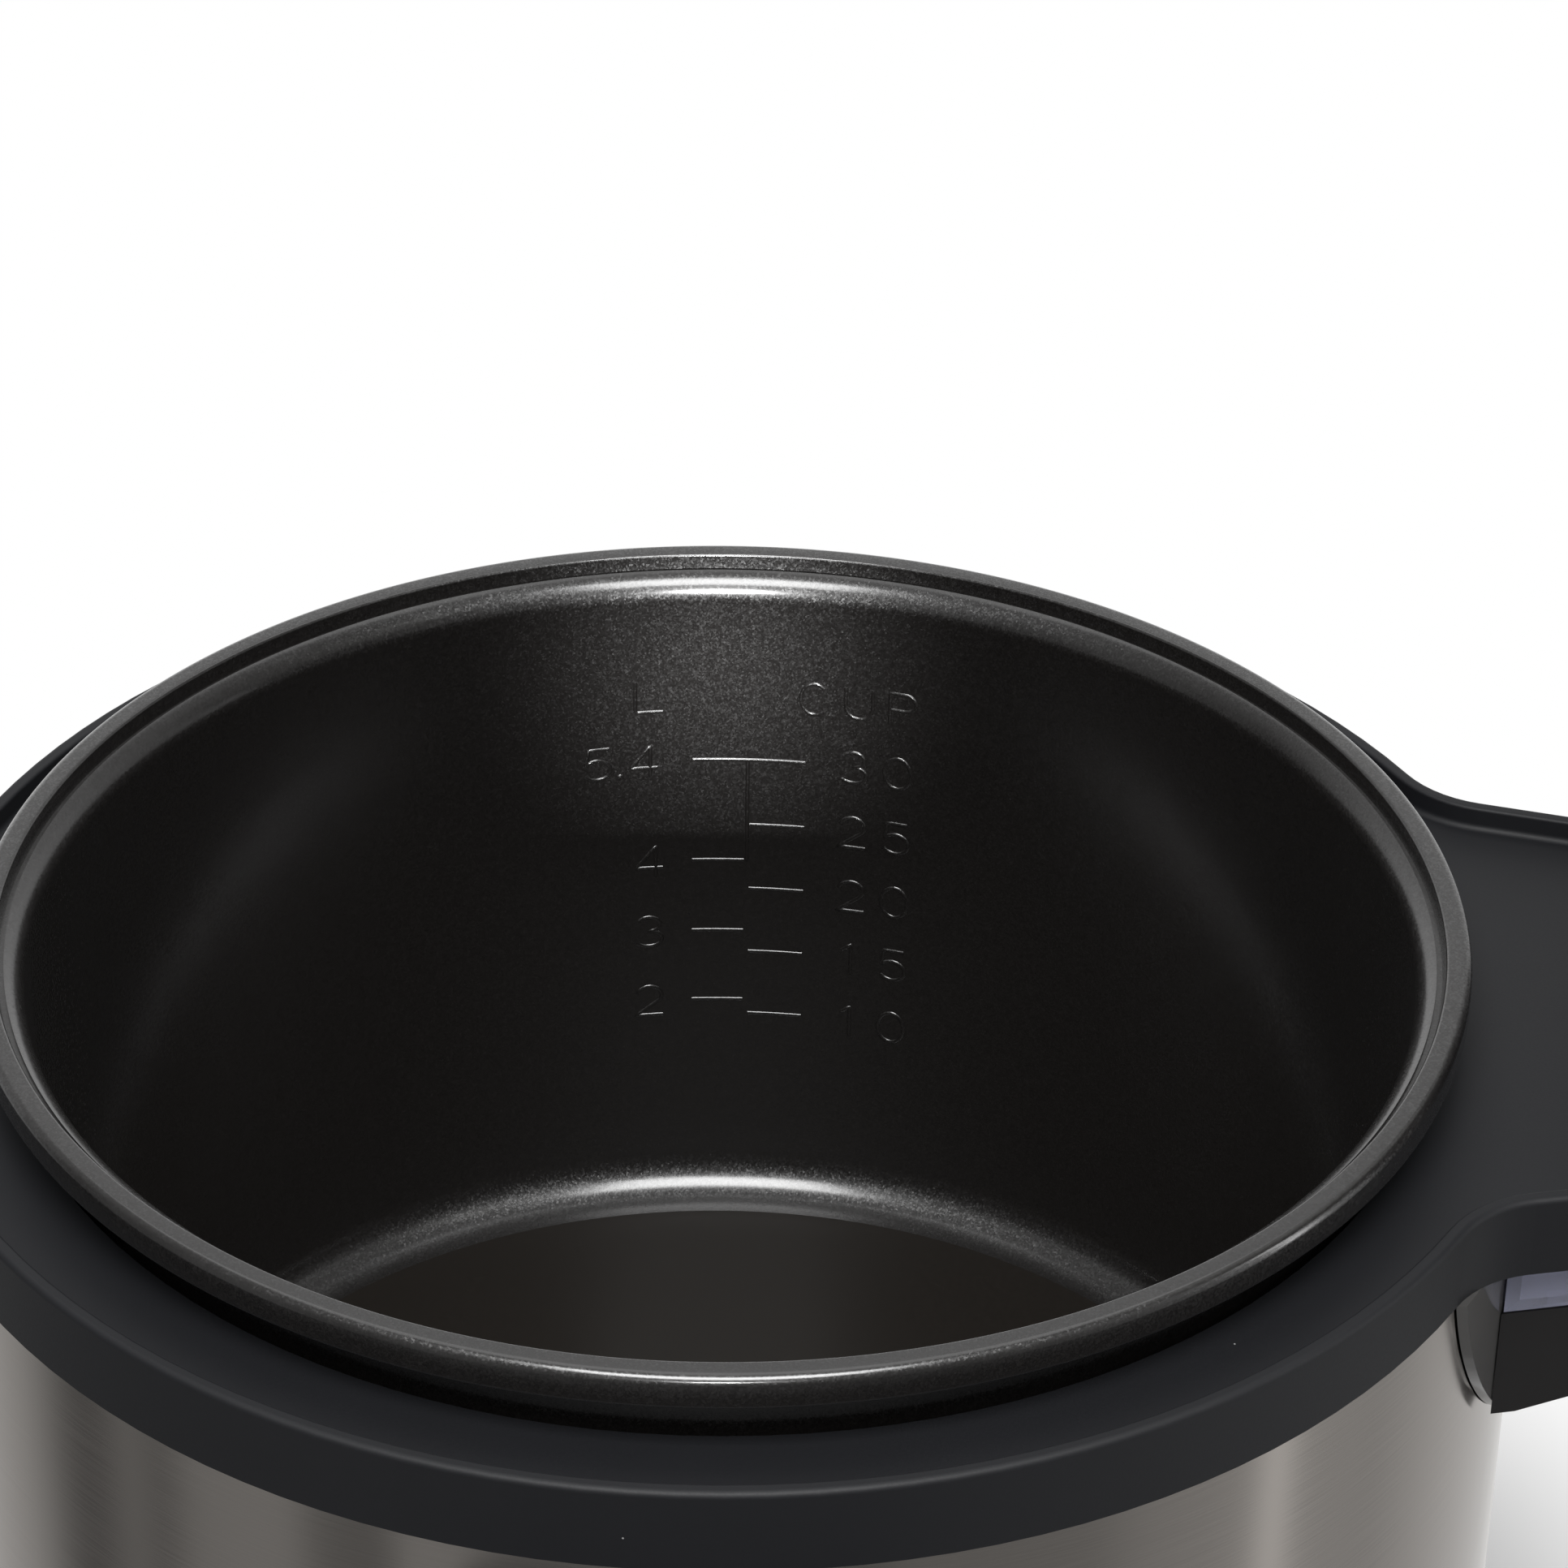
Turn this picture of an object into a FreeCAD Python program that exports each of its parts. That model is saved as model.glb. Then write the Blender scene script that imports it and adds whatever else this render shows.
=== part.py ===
import FreeCAD, Part
import math
import os

# Rice cooker for thirty cups of raw rice, shown with its lid open and its pot seated.
# Frame: millimetres, +Z up, origin on the table under the pot's axis.
# The front with the cook lever faces -Y, the lid hinge and the drip collector are at +Y.

V = FreeCAD.Vector
X_AXIS = V(1, 0, 0)
Y_AXIS = V(0, 1, 0)
Z_AXIS = V(0, 0, 1)

# General fits
FIT = 0.3
PIN_FIT = 0.06

# Inner pot
POT_R = 155.0
POT_WALL = 2.2
POT_DEPTH = 191.0
POT_FILLET = 12.0
RIM_WIDTH = 12.0
RIM_ROUND = 2.0
RIM_LIP = 8.0
RIM_FLAT_START = 6.2
RIM_INNER_ROUND = 0.8
RIM_STEP = 3.4
GROOVE_DEPTH = 0.7
GROOVE_WIDTH = 1.3
SHOULDER_WIDTH = 4.3
SHOULDER_DROP = 6.8

# Outer shell and top ring
BODY_GAP = 28.8
SHELL_WALL = 0.8
SKIRT_PROUD = 0.6
LIP_DROP = 14.7
LIP_WIDTH = 3.5
LIP_ROUND = 1.4
LIP_INNER_ROUND = 0.8
TRAY_DEPTH = 5.7
TRAY_FLOOR = 2.5
TRAY_ROUND = 1.5
SKIRT_HEIGHT = 19.5
SKIRT_WALL = 2.2
POT_GAP = 2.4
HEM_WALL = 1.6
HEM_DROP = 6.0
SPIGOT_DROP = 8.0

# Tongue at the back of the ring
TONGUE_TAPER = 13.0
TONGUE_HALF = 78.5
TONGUE_ROOT = 4.8
TONGUE_FILLET = 25.0
TONGUE_CORNER = 18.0
TONGUE_RIBS = (-44.0, 0.0, 44.0)
RIB_WALL = 2.0
RIB_GAP = 7.2
RIB_DROP = 9.0
DRAIN_R = 4.0
DRAIN_WALL = 1.5
DRAIN_X = 24.0
DRAIN_OUT = 12.2
DRAIN_CLEAR = 0.5

# Lid hinge
HINGE_OUT = 55.6
HINGE_BACK = 22.0
HINGE_RISE = 14.0
HINGE_PIN_R = 4.0
LID_OPEN = 90.0
LUG_R = 10.0
LUG_IN = 30.0
LUG_WIDTH = 12.0
LUG_GAP = 0.6
LUG_ROOM = 2.4
BARREL_R = 9.0
BARREL_MID = 12.0
BARREL_IN = 2.9
HOOD_R = 11.7
TORSION_WIRE_R = 1.0
TORSION_COIL_R = 7.0
TORSION_TURNS = 4
TORSION_PITCH = 2.9
TORSION_LEG = 17.0
TORSION_LEG_ROOM = 4.6

# Base
FOOT_H = 6.8
FOOT_R = 13.0
FOOT_TAPER = 2.0
FOOT_IN = 34.6
FOOT_WELL_R = 5.0
FOOT_WELL = 4.5
PLATE_T = 1.2
PLATE_IN = 12.6
BASE_HEIGHT = 14.0
BASE_TUCK = 8.0
BASE_EDGE = 4.0
BASE_WALL = 2.2
BASE_SPIGOT = 10.0
FLANGE_T = 3.0
FLANGE_WIDTH = 46.6
BOSS_R = 6.0
BOSS_H = 10.0
SCREW_R = 2.0
SCREW_HEAD_R = 4.0
SCREW_HEAD_H = 2.5
SCREW_CLEAR = 0.1
VENT_SLOTS = 12
VENT_SLOT_LENGTH = 26.0
VENT_SLOT_WIDTH = 4.0
VENT_SLOT_ROUND = 1.9
VENT_SLOT_R = 92.0

# Liner and heater
LINER_GAP = 4.3
LINER_WALL = 0.8
LINER_FLANGE = 10.0
LINER_CORNER = 8.0
LINER_FLOOR_Z = 77.8
POT_LIFT = 29.0
LINER_HOLE_GAP = 10.0
TIE_R = 5.0
TIE_IN = 15.5
TIE_ANGLES = (20.0, 160.0, 200.0, 340.0)
HEATER_IN = 20.0
HEATER_T = 14.0
HEATER_CHAMFER = 3.0
HEATER_HOLE_R = 26.5
ELEMENT_R = 95.0
ELEMENT_TUBE_R = 4.0
ELEMENT_BED = 7.0
ELEMENT_BED_DROP = 3.0
ELEMENT_LEG_ANGLE = 12.0
ELEMENT_BEND_R = 10.0
ELEMENT_LEG_END = 8.0
INSULATOR_R = 7.7
INSULATOR_FLANGE_R = 10.5
INSULATOR_FLANGE_T = 3.0
INSULATOR_TAIL = 6.0
BLADE = (6.3, 0.8, 9.0)
POST_R = 6.0
POST_PITCH_R = 58.0
BAND_WALL = 2.0
BAND_HEIGHT = 40.0
BAND_RISE = 70.0
BAND_SPLIT = 8.0
BAND_TAB = 9.0
FUSE_AT = (62.0, 48.0)
FUSE_R = 3.2
FUSE_LENGTH = 22.0
FUSE_SADDLE = (30.0, 10.0, 1.5)

# Magnetic thermostat
CAP_R = 24.0
CAP_TOP_T = 1.7
CAP_SKIRT = 9.5
CAP_WALL = 1.0
GUIDE_R = 18.5
GUIDE_WALL = 1.2
GUIDE_LENGTH = 22.0
SLEEVE_WALL = 1.2
SLEEVE_TOP_DROP = 14.0
SLEEVE_BASE_DROP = 8.0
SLEEVE_FLANGE_LAP = 4.0
SLEEVE_FLANGE_T = 1.2
FERRITE_R = 14.0
FERRITE_T = 8.0
MAGNET_R = 14.0
MAGNET_T = 8.0
MAGNET_DROP = 2.3
ROD_R = 4.0
SENSOR_WIRE_R = 0.8
SENSOR_COIL_R = 21.3
SENSOR_TURNS = 4

# Cook lever
PIVOT_IN = 73.8
PIVOT_DROP = 20.8
LEVER_T = 4.0
LEVER_WIDTH = 14.0
LEVER_TIP = 7.0
LEVER_HUB_R = 6.5
LEVER_HUB_GAP = 0.5
LEVER_ANGLE = 5.0
LEVER_PIN_R = 2.5
LEVER_PIN_HEAD_R = 4.5
LEVER_PIN_HEAD_T = 2.0
LEVER_OUT = 11.0
KNOB_WIDTH = 34.0
KNOB_HEIGHT = 14.0
KNOB_DEPTH = 13.0
KNOB_ROUND = 4.0
KNOB_SOCKET = 8.0
FRAME_WIDTH = 44.0
FRAME_LENGTH = 50.0
FRAME_T = 1.5
FRAME_CHEEK_DROP = 12.0
FRAME_CHEEK_ROUND = 6.0
SWITCH_SIZE = (10.0, 28.0, 12.0)
SWITCH_GAP = 11.0
SWITCH_PLUNGER_R = 1.6

# Control panel, lamps, power inlet and terminal block
PANEL_T = 3.1
PANEL_WIDTH = 96.0
PANEL_RISE = 5.0
PANEL_HEIGHT = 85.0
PANEL_CORNER = 12.0
SLOT_MARGIN = 1.3
SLOT_DEPTH = 10.0
LENS_R = 5.8
LENS_X = 20.0
LENS_DROP = 24.0
LENS_PROUD = 2.0
LENS_ROUND = 1.8
LENS_TAIL = 4.0
INLET_DROP = 15.8
INLET_WIDTH = 29.0
INLET_HEIGHT = 24.0
INLET_DEPTH = 30.0
INLET_WALL = 2.5
INLET_PROUD = 2.6
INLET_FLANGE = 6.0
INLET_CORNER = 4.0
INLET_PIN = (2.0, 4.0, 15.0)
INLET_PIN_X = 7.0
INLET_EARTH_DROP = 4.0
BLOCK_SIZE = (44.0, 20.0, 16.0)
BLOCK_AT = (-66.0, 62.0)
BLOCK_WELLS = 4
BLOCK_WELL_R = 3.0
BLOCK_WELL_DEPTH = 9.0

# Plinth and drip collector
PLINTH_T = 2.0
PLINTH_TOP_HALF = 91.0
PLINTH_MID_HALF = 80.5
PLINTH_MID_DROP = 27.0
PLINTH_END_HALF = 60.0
PLINTH_DROP = 51.0
PEG_R = 3.0
PEG_LENGTH = 2.6
PEG_X = 46.0
PEG_DROP = 40.0
BIN_HALF = 70.0
BIN_REACH = 61.7
BIN_CORNER = 14.0
BIN_DROP = 45.5
BIN_LIP_DROP = 18.0
BIN_WALL = 2.2
BIN_FLOOR = 2.0
BIN_BACK_WALL = 4.5
BIN_FLAT_IN = 8.3
BIN_SLOPE = 12.0
CUP_WALL = 2.0
CUP_CLEAR = 1.0
CUP_FLOOR = 2.0

# Side handles
HANDLE_DROP = 52.0
HANDLE_HEIGHT = 24.0
HANDLE_REACH = 46.0
HANDLE_HALF = 64.0
HANDLE_CORNER = 24.0
HANDLE_GRIP = 16.0
HANDLE_HOLE_HALF = 46.0
HANDLE_HOLE_CORNER = 12.0
HANDLE_BACK = 2.4
HANDLE_ROUND = 4.0
HANDLE_SCREW_LENGTH = 12.0

# Lid
LID_GAP = 2.0
LID_HEIGHT = 44.0
LID_WALL = 2.6
LID_ROUND = 10.0
LID_SLOPE_RUN = 35.0
PAN_LIFT = 0.3
PAN_T = 2.5
PAN_GAP = 1.4
PAN_ROOF_RISE = 6.0
COVER_IN = 18.8
COVER_LAP = 8.0
COVER_RIM = 6.0
COVER_T = 0.8
COVER_DOME = 22.0
LID_SCREW_ANGLES = (22.0, 158.0, 217.0, 323.0)
LID_SCREW_R = 1.8
LID_SCREW_HEAD_R = 3.2
LID_SCREW_HEAD_H = 1.8
LID_SCREW_LENGTH = 14.0
LID_BOSS_R = 3.6
STUD_R = 5.0
STUD_LENGTH = 10.0
STUD_FLANGE_R = 9.0
STUD_FLANGE_T = 1.5

# Steam vent
VENT_Y = 70.0
WELL_R = 24.5
WELL_WALL = 2.2
WELL_RISE = 22.0
VENT_PIPE_R = 9.0
VENT_CAP_R = 31.0
VENT_CAP_T = 4.0
VENT_CAP_ROUND = 2.5
VENT_CAP_SKIRT = 26.0
VENT_CAP_WALL = 2.0
VENT_CAP_PORTS = 6
VENT_PORT_R = 2.6
VENT_PORT_PITCH_R = 14.0

# Inner lid
INNER_T = 0.8
INNER_LAP = 3.0
INNER_CENTRE_R = 9.0
INNER_DISH = 3.5
INNER_RIM = 8.0
INNER_HOLES = 8
INNER_HOLE_R = 2.6
INNER_HOLE_PITCH_R = 12.0
GASKET_IN = 4.5
GASKET_CLEAR = 0.5
GASKET_GROOVE_FIT = 0.1
GROMMET_R = 12.5
GROMMET_H = 7.5

# Lid latch
BUTTON_WIDTH = 40.0
BUTTON_HEIGHT = 19.0
BUTTON_RISE = 20.0
BUTTON_ROUND = 4.0
BUTTON_PROUD = 1.6
BUTTON_FLANGE = 3.0
BUTTON_FLANGE_T = 2.0
HOOK_WIDTH = 18.0
HOOK_T = 2.0
HOOK_IN = 9.3
HOOK_TOE = 2.2
HOOK_TOE_T = 2.5
HOOK_CLEAR = 0.5
STRIKE_WIDTH = 28.0
STRIKE_T = 1.4
STRIKE_RISE = 7.0
STRIKE_REACH = 1.8
LATCH_WIRE_R = 0.5
LATCH_COIL_R = 4.0
LATCH_TURNS = 3
LATCH_SPRING_X = 15.0

# Levels and radii that follow from the sizes above
POT_BASE_Z = LINER_FLOOR_Z + POT_LIFT
POT_FLOOR_Z = POT_BASE_Z + POT_WALL
RIM_Z = POT_FLOOR_Z + POT_DEPTH
POT_OUT_R = POT_R + POT_WALL
RIM_R = POT_R + RIM_WIDTH
BODY_R = POT_R + BODY_GAP
SKIRT_R = BODY_R + SKIRT_PROUD
SHELL_IN_R = BODY_R - SHELL_WALL
LIP_Z = RIM_Z - LIP_DROP
TRAY_Z = LIP_Z - TRAY_DEPTH
RING_UNDER_Z = TRAY_Z - TRAY_FLOOR
SKIRT_Z = LIP_Z - SKIRT_HEIGHT
OPENING_R = POT_OUT_R + POT_GAP
TONGUE_HALF_AT = SKIRT_R - TONGUE_ROOT
RIB_START = SKIRT_R + RIB_GAP
DRAIN_Y = SKIRT_R + DRAIN_OUT
HINGE_Y = SKIRT_R + HINGE_OUT
TONGUE_END = HINGE_Y + HINGE_BACK
HINGE_Z = LIP_Z + HINGE_RISE
LUG_OUT = LUG_IN + LUG_WIDTH
TONGUE_NARROWS = math.tan(math.radians(TONGUE_TAPER))
BARREL_END = TONGUE_HALF - (HINGE_Y + BARREL_R - TONGUE_HALF_AT) * TONGUE_NARROWS - BARREL_IN
BASE_Z = FOOT_H + PLATE_T
SHELL_Z = BASE_Z + BASE_HEIGHT
FLANGE_TOP_Z = BASE_Z + FLANGE_T
FLANGE_IN_R = BODY_R - FLANGE_WIDTH
PLATE_R = BODY_R - PLATE_IN
FOOT_PITCH_R = BODY_R - FOOT_IN
LINER_R = POT_OUT_R + LINER_GAP
LINER_TOP_Z = LINER_FLOOR_Z + LINER_WALL
TIE_PITCH_R = LINER_R - TIE_IN
HEATER_R = POT_R - POT_FILLET - HEATER_IN
HEATER_BASE_Z = POT_BASE_Z - HEATER_T
ELEMENT_Z = HEATER_BASE_Z - ELEMENT_BED_DROP
CAP_Z = POT_BASE_Z - FIT
SLEEVE_R = GUIDE_R + FIT + SLEEVE_WALL
SLEEVE_TOP_Z = POT_BASE_Z - SLEEVE_TOP_DROP
SLEEVE_BASE_Z = LINER_FLOOR_Z - SLEEVE_BASE_DROP
LINER_HOLE_R = SLEEVE_R + LINER_HOLE_GAP
SLEEVE_FLANGE_R = LINER_HOLE_R + SLEEVE_FLANGE_LAP
MAGNET_BASE = LINER_FLOOR_Z - MAGNET_DROP
PIVOT_Y = PIVOT_IN - BODY_R
PIVOT_Z = LINER_FLOOR_Z - PIVOT_DROP
LEVER_TOP_Z = PIVOT_Z + LEVER_T / 2
FRAME_CHEEK_END = PIVOT_Z - FRAME_CHEEK_DROP
SWITCH_Y = PIVOT_Y + FRAME_LENGTH / 2 + SWITCH_GAP + SWITCH_SIZE[1] / 2
PANEL_R = BODY_R + FIT
PANEL_BOTTOM = SHELL_Z + PANEL_RISE
PANEL_TOP = PANEL_BOTTOM + PANEL_HEIGHT
LENS_Z = PANEL_TOP - LENS_DROP
INLET_Z = LINER_FLOOR_Z - INLET_DROP
PLINTH_R = BODY_R + FIT
PEG_Z = SKIRT_Z - PEG_DROP
BIN_R = PLINTH_R + PLINTH_T + FIT
BIN_END = BIN_R + BIN_REACH
BIN_BASE = SKIRT_Z - BIN_DROP
BIN_TOP = SKIRT_Z - BIN_LIP_DROP
BIN_FLAT_END = BIN_R - BIN_FLAT_IN
CUP_TOP = SKIRT_Z - CUP_CLEAR
HANDLE_Z = SKIRT_Z - HANDLE_DROP
LID_Z = LIP_Z + LID_GAP
LID_TOP_Z = LID_Z + LID_HEIGHT
LID_SLOPE_START = HINGE_Y - LID_SLOPE_RUN
COVER_R = SKIRT_R - COVER_IN
LID_OPENING_R = COVER_R - COVER_LAP
PAN_Z = LID_Z + PAN_LIFT
PAN_R = RIM_R + PAN_GAP
PAN_ROOF_Z = RIM_Z + PAN_ROOF_RISE
WELL_TOP_Z = LID_TOP_Z + WELL_RISE
INNER_R = POT_R + INNER_LAP
INNER_DISH_R = INNER_R - INNER_RIM
BUTTON_Z = LID_Z + BUTTON_RISE
HOOK_R = SKIRT_R - HOOK_IN


def save(name, *shapes):
    shape = shapes[0] if len(shapes) == 1 else Part.makeCompound(list(shapes))
    shape.exportStep(os.path.join("parts", name + ".step"))


def polar(radius, degrees, z=0.0):
    a = math.radians(degrees)
    return V(radius * math.cos(a), radius * math.sin(a), z)


def rod(radius, base, end):
    """Round bar from one point to another."""
    return Part.makeCylinder(radius, (end - base).Length, base, end - base)


def tube(outer, inner, z0, z1):
    """Upright tube about the pot's axis."""
    return rod(outer, V(0, 0, z0), V(0, 0, z1)).cut(rod(inner, V(0, 0, z0), V(0, 0, z1)))


def block(x0, x1, y0, y1, z0, z1):
    return Part.makeBox(x1 - x0, y1 - y0, z1 - z0, V(x0, y0, z0))


def turned(start, *steps):
    """Solid turned about Z from a closed (r, z) outline. A step is a point, or (mid, end) for an arc."""
    edges = []
    here = start
    for step in steps + (start,):
        end = step[1] if isinstance(step[0], tuple) else step
        a = V(here[0], 0, here[1])
        b = V(end[0], 0, end[1])
        if isinstance(step[0], tuple):
            mid = V(step[0][0], 0, step[0][1])
            edges.append(Part.Arc(a, mid, b).toShape())
        else:
            edges.append(Part.LineSegment(a, b).toShape())
        here = end
    face = Part.Face(Part.Wire(edges))
    return face.revolve(V(0, 0, 0), Z_AXIS, 360)


def bend(centre, radius, start_deg, end_deg):
    """Arc step for turned(): its mid point and its end point."""
    mid = math.radians((start_deg + end_deg) / 2)
    end = math.radians(end_deg)
    return (
        (centre[0] + radius * math.cos(mid), centre[1] + radius * math.sin(mid)),
        (centre[0] + radius * math.cos(end), centre[1] + radius * math.sin(end)),
    )


def edges_at(shape, z):
    """Edges that lie wholly at one height."""
    return [e for e in shape.Edges if abs(e.BoundBox.ZMin - z) < 1e-4 and abs(e.BoundBox.ZMax - z) < 1e-4]


def edges_along(shape, axis):
    """Straight edges parallel to an axis."""
    found = []
    for e in shape.Edges:
        if isinstance(e.Curve, Part.Line) and abs(abs(e.Curve.Direction.dot(axis)) - 1) < 1e-6:
            found.append(e)
    return found


def rounded_block(x0, x1, y0, y1, z0, z1, radius, axis):
    """Block whose edges along one axis are rounded."""
    shape = block(x0, x1, y0, y1, z0, z1)
    return shape.makeFillet(radius, edges_along(shape, axis))


def opened(shape):
    """Turns a lid piece from its closed place to the open rest pose."""
    turned_shape = shape.copy()
    turned_shape.rotate(V(0, HINGE_Y, HINGE_Z), X_AXIS, -LID_OPEN)
    return turned_shape


def coil(radius, turns, pitch, wire_r, place, lead_in=0.0, lead_out=0.0, start_deg=0.0, extra_deg=0.0):
    """Spring wire wound about +Z from z = 0, with straight legs, then moved by a placement."""
    total = 360.0 * turns + extra_deg
    halves = int(math.ceil(total / 180.0))
    rise = pitch / 360.0

    def at(deg):
        return polar(radius, start_deg + deg, rise * deg)

    def along(deg):
        a = math.radians(start_deg + deg)
        direction = V(-radius * math.sin(a), radius * math.cos(a), math.degrees(rise))
        return direction.normalize()

    edges = []
    if lead_in:
        edges.append(Part.LineSegment(at(0) - along(0) * lead_in, at(0)).toShape())
    step = total / halves
    for i in range(halves):
        edges.append(Part.Arc(at(i * step), at((i + 0.5) * step), at((i + 1) * step)).toShape())
    if lead_out:
        edges.append(Part.LineSegment(at(total), at(total) + along(total) * lead_out).toShape())
    path = Part.Wire(edges)
    first = at(0) - along(0) * lead_in
    profile = Part.Wire(Part.makeCircle(wire_r, first, along(0)))
    shape = path.makePipeShell([profile], True, False)
    shape.Placement = place
    return shape


def spring_gap(name, pitch, wire_r):
    print(name, "gap between turns", round(pitch - 2 * wire_r, 2), "mm")


def tongue_outline(inset, end, corner):
    """Ring and tongue seen from above, as a closed wire at z = 0, moved inwards by inset."""
    a = math.radians(TONGUE_TAPER)
    normal = V(math.cos(a), math.sin(a), 0)
    along = V(-math.sin(a), math.cos(a), 0)
    side = normal.dot(V(TONGUE_HALF, TONGUE_HALF_AT, 0))
    reach = side + TONGUE_FILLET
    centre = normal * reach + along * math.sqrt((SKIRT_R + TONGUE_FILLET) ** 2 - reach**2)
    radius = SKIRT_R - inset
    fillet = TONGUE_FILLET + inset
    leave = centre * (radius / (SKIRT_R + TONGUE_FILLET))
    land = centre - normal * fillet
    inward = (leave - centre).normalize() + (land - centre).normalize()
    bow = centre + inward.normalize() * fillet
    round_r = corner - inset
    corner_y = end - corner
    corner_c = V((side - corner - normal.y * corner_y) / normal.x, corner_y, 0)
    turn = corner_c + normal * round_r
    turn_mid = corner_c + (normal + Y_AXIS).normalize() * round_r
    back = corner_c + Y_AXIS * round_r

    def other(p):
        return V(-p.x, p.y, 0)

    return Part.Wire(
        [
            Part.Arc(other(leave), V(0, -radius, 0), leave).toShape(),
            Part.Arc(leave, bow, land).toShape(),
            Part.LineSegment(land, turn).toShape(),
            Part.Arc(turn, turn_mid, back).toShape(),
            Part.LineSegment(back, other(back)).toShape(),
            Part.Arc(other(back), other(turn_mid), other(turn)).toShape(),
            Part.LineSegment(other(turn), other(land)).toShape(),
            Part.Arc(other(land), other(bow), other(leave)).toShape(),
        ]
    )


def prism(wire, z0, z1):
    face = Part.Face(wire)
    face.translate(V(0, 0, z0))
    return face.extrude(V(0, 0, z1 - z0))


def ring_prism(inset, z0, z1):
    return prism(tongue_outline(inset, TONGUE_END, TONGUE_CORNER), z0, z1)


def mirrored(shape):
    return shape.mirror(V(0, 0, 0), X_AXIS)


# Inner pot


def inner_pot():
    shoulder_r = (SHOULDER_WIDTH**2 + SHOULDER_DROP**2) / (2 * SHOULDER_WIDTH)
    step_z = RIM_Z - RIM_STEP
    wall_z = step_z - SHOULDER_DROP
    shoulder = (POT_R + shoulder_r, wall_z)
    top_deg = math.degrees(math.atan2(SHOULDER_DROP, SHOULDER_WIDTH - shoulder_r))
    corner = (POT_R - POT_FILLET, POT_FLOOR_Z + POT_FILLET)
    flat_r = POT_R + RIM_FLAT_START
    under = bend(shoulder, shoulder_r - POT_WALL, 180, top_deg)
    under_z = under[1][1]
    lip_z = RIM_Z - RIM_LIP
    lip_r = RIM_R - POT_WALL
    edge = POT_WALL / 2
    groove_r = POT_R + SHOULDER_WIDTH + GROOVE_WIDTH
    groove_z = step_z - GROOVE_DEPTH
    return turned(
        (0, POT_BASE_Z),
        (corner[0], POT_BASE_Z),
        bend(corner, POT_FILLET + POT_WALL, -90, 0),
        (POT_OUT_R, wall_z),
        under,
        (lip_r, under_z),
        (lip_r, lip_z + edge),
        bend((lip_r + edge, lip_z + edge), edge, 180, 360),
        (RIM_R, RIM_Z - RIM_ROUND),
        bend((RIM_R - RIM_ROUND, RIM_Z - RIM_ROUND), RIM_ROUND, 0, 90),
        (flat_r + RIM_INNER_ROUND, RIM_Z),
        bend((flat_r + RIM_INNER_ROUND, RIM_Z - RIM_INNER_ROUND), RIM_INNER_ROUND, 90, 180),
        (groove_r, groove_z),
        (POT_R + SHOULDER_WIDTH, groove_z),
        (POT_R + SHOULDER_WIDTH, step_z),
        bend(shoulder, shoulder_r, top_deg, 180),
        (POT_R, corner[1]),
        bend(corner, POT_FILLET, 0, -90),
        (0, POT_FLOOR_Z),
    )


# Top ring with its tongue, hinge lugs and drains


def hinge_lug(x0):
    lug = rod(LUG_R, V(x0, HINGE_Y, HINGE_Z), V(x0 + LUG_WIDTH, HINGE_Y, HINGE_Z))
    foot = block(x0, x0 + LUG_WIDTH, HINGE_Y - LUG_R, HINGE_Y + LUG_R, RING_UNDER_Z, HINGE_Z)
    return lug.fuse(foot)


def hinge_bore(radius):
    return rod(radius, V(-SKIRT_R, HINGE_Y, HINGE_Z), V(SKIRT_R, HINGE_Y, HINGE_Z))


def drain_points():
    return [V(x, DRAIN_Y, 0) for x in (-DRAIN_X, DRAIN_X)]


def top_ring():
    ring = ring_prism(0, SKIRT_Z, LIP_Z)
    ring = ring.makeFillet(LIP_ROUND, edges_at(ring, LIP_Z))
    tray = ring_prism(LIP_WIDTH, TRAY_Z, LIP_Z)
    tray = tray.makeFillet(TRAY_ROUND, edges_at(tray, TRAY_Z))
    ring = ring.cut(tray)
    mouth = [e for e in edges_at(ring, LIP_Z) if e.distToShape(tray)[0] < 1e-4]
    ring = ring.makeFillet(LIP_INNER_ROUND, mouth)
    below = SKIRT_Z - SPIGOT_DROP
    hollow_r = SHELL_IN_R - FIT
    body_hollow = rod(hollow_r, V(0, 0, below), V(0, 0, RING_UNDER_Z))
    tongue_hollow = ring_prism(SKIRT_WALL, below, RING_UNDER_Z)
    tongue_hollow = tongue_hollow.cut(rod(SKIRT_R, V(0, 0, below), V(0, 0, RING_UNDER_Z)))
    ring = ring.cut(body_hollow).cut(tongue_hollow)
    hem = rod(OPENING_R + HEM_WALL, V(0, 0, RING_UNDER_Z - HEM_DROP), V(0, 0, RING_UNDER_Z))
    spigot = tube(hollow_r, hollow_r - SKIRT_WALL, below, RING_UNDER_Z)
    adds = [hem, spigot, hinge_lug(LUG_IN), hinge_lug(-LUG_OUT)]
    for x in TONGUE_RIBS:
        rib_end = TONGUE_END - SKIRT_WALL
        half = RIB_WALL / 2
        adds.append(block(x - half, x + half, RIB_START, rib_end, RING_UNDER_Z - RIB_DROP, RING_UNDER_Z))
    spout_z = CUP_TOP + DRAIN_CLEAR
    for p in drain_points():
        adds.append(rod(DRAIN_R + DRAIN_WALL, p + Z_AXIS * spout_z, p + Z_AXIS * RING_UNDER_Z))
    ring = ring.multiFuse(adds)
    cuts = [rod(OPENING_R, V(0, 0, below), V(0, 0, LIP_Z)), hinge_bore(HINGE_PIN_R + PIN_FIT)]
    for p in drain_points():
        cuts.append(rod(DRAIN_R, p + Z_AXIS * below, p + Z_AXIS * LIP_Z))
    for cut in cuts:
        ring = ring.cut(cut)
    return ring.removeSplitter()


def hinge_pin():
    return rod(HINGE_PIN_R, V(-BARREL_END, HINGE_Y, HINGE_Z), V(BARREL_END, HINGE_Y, HINGE_Z))


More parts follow.
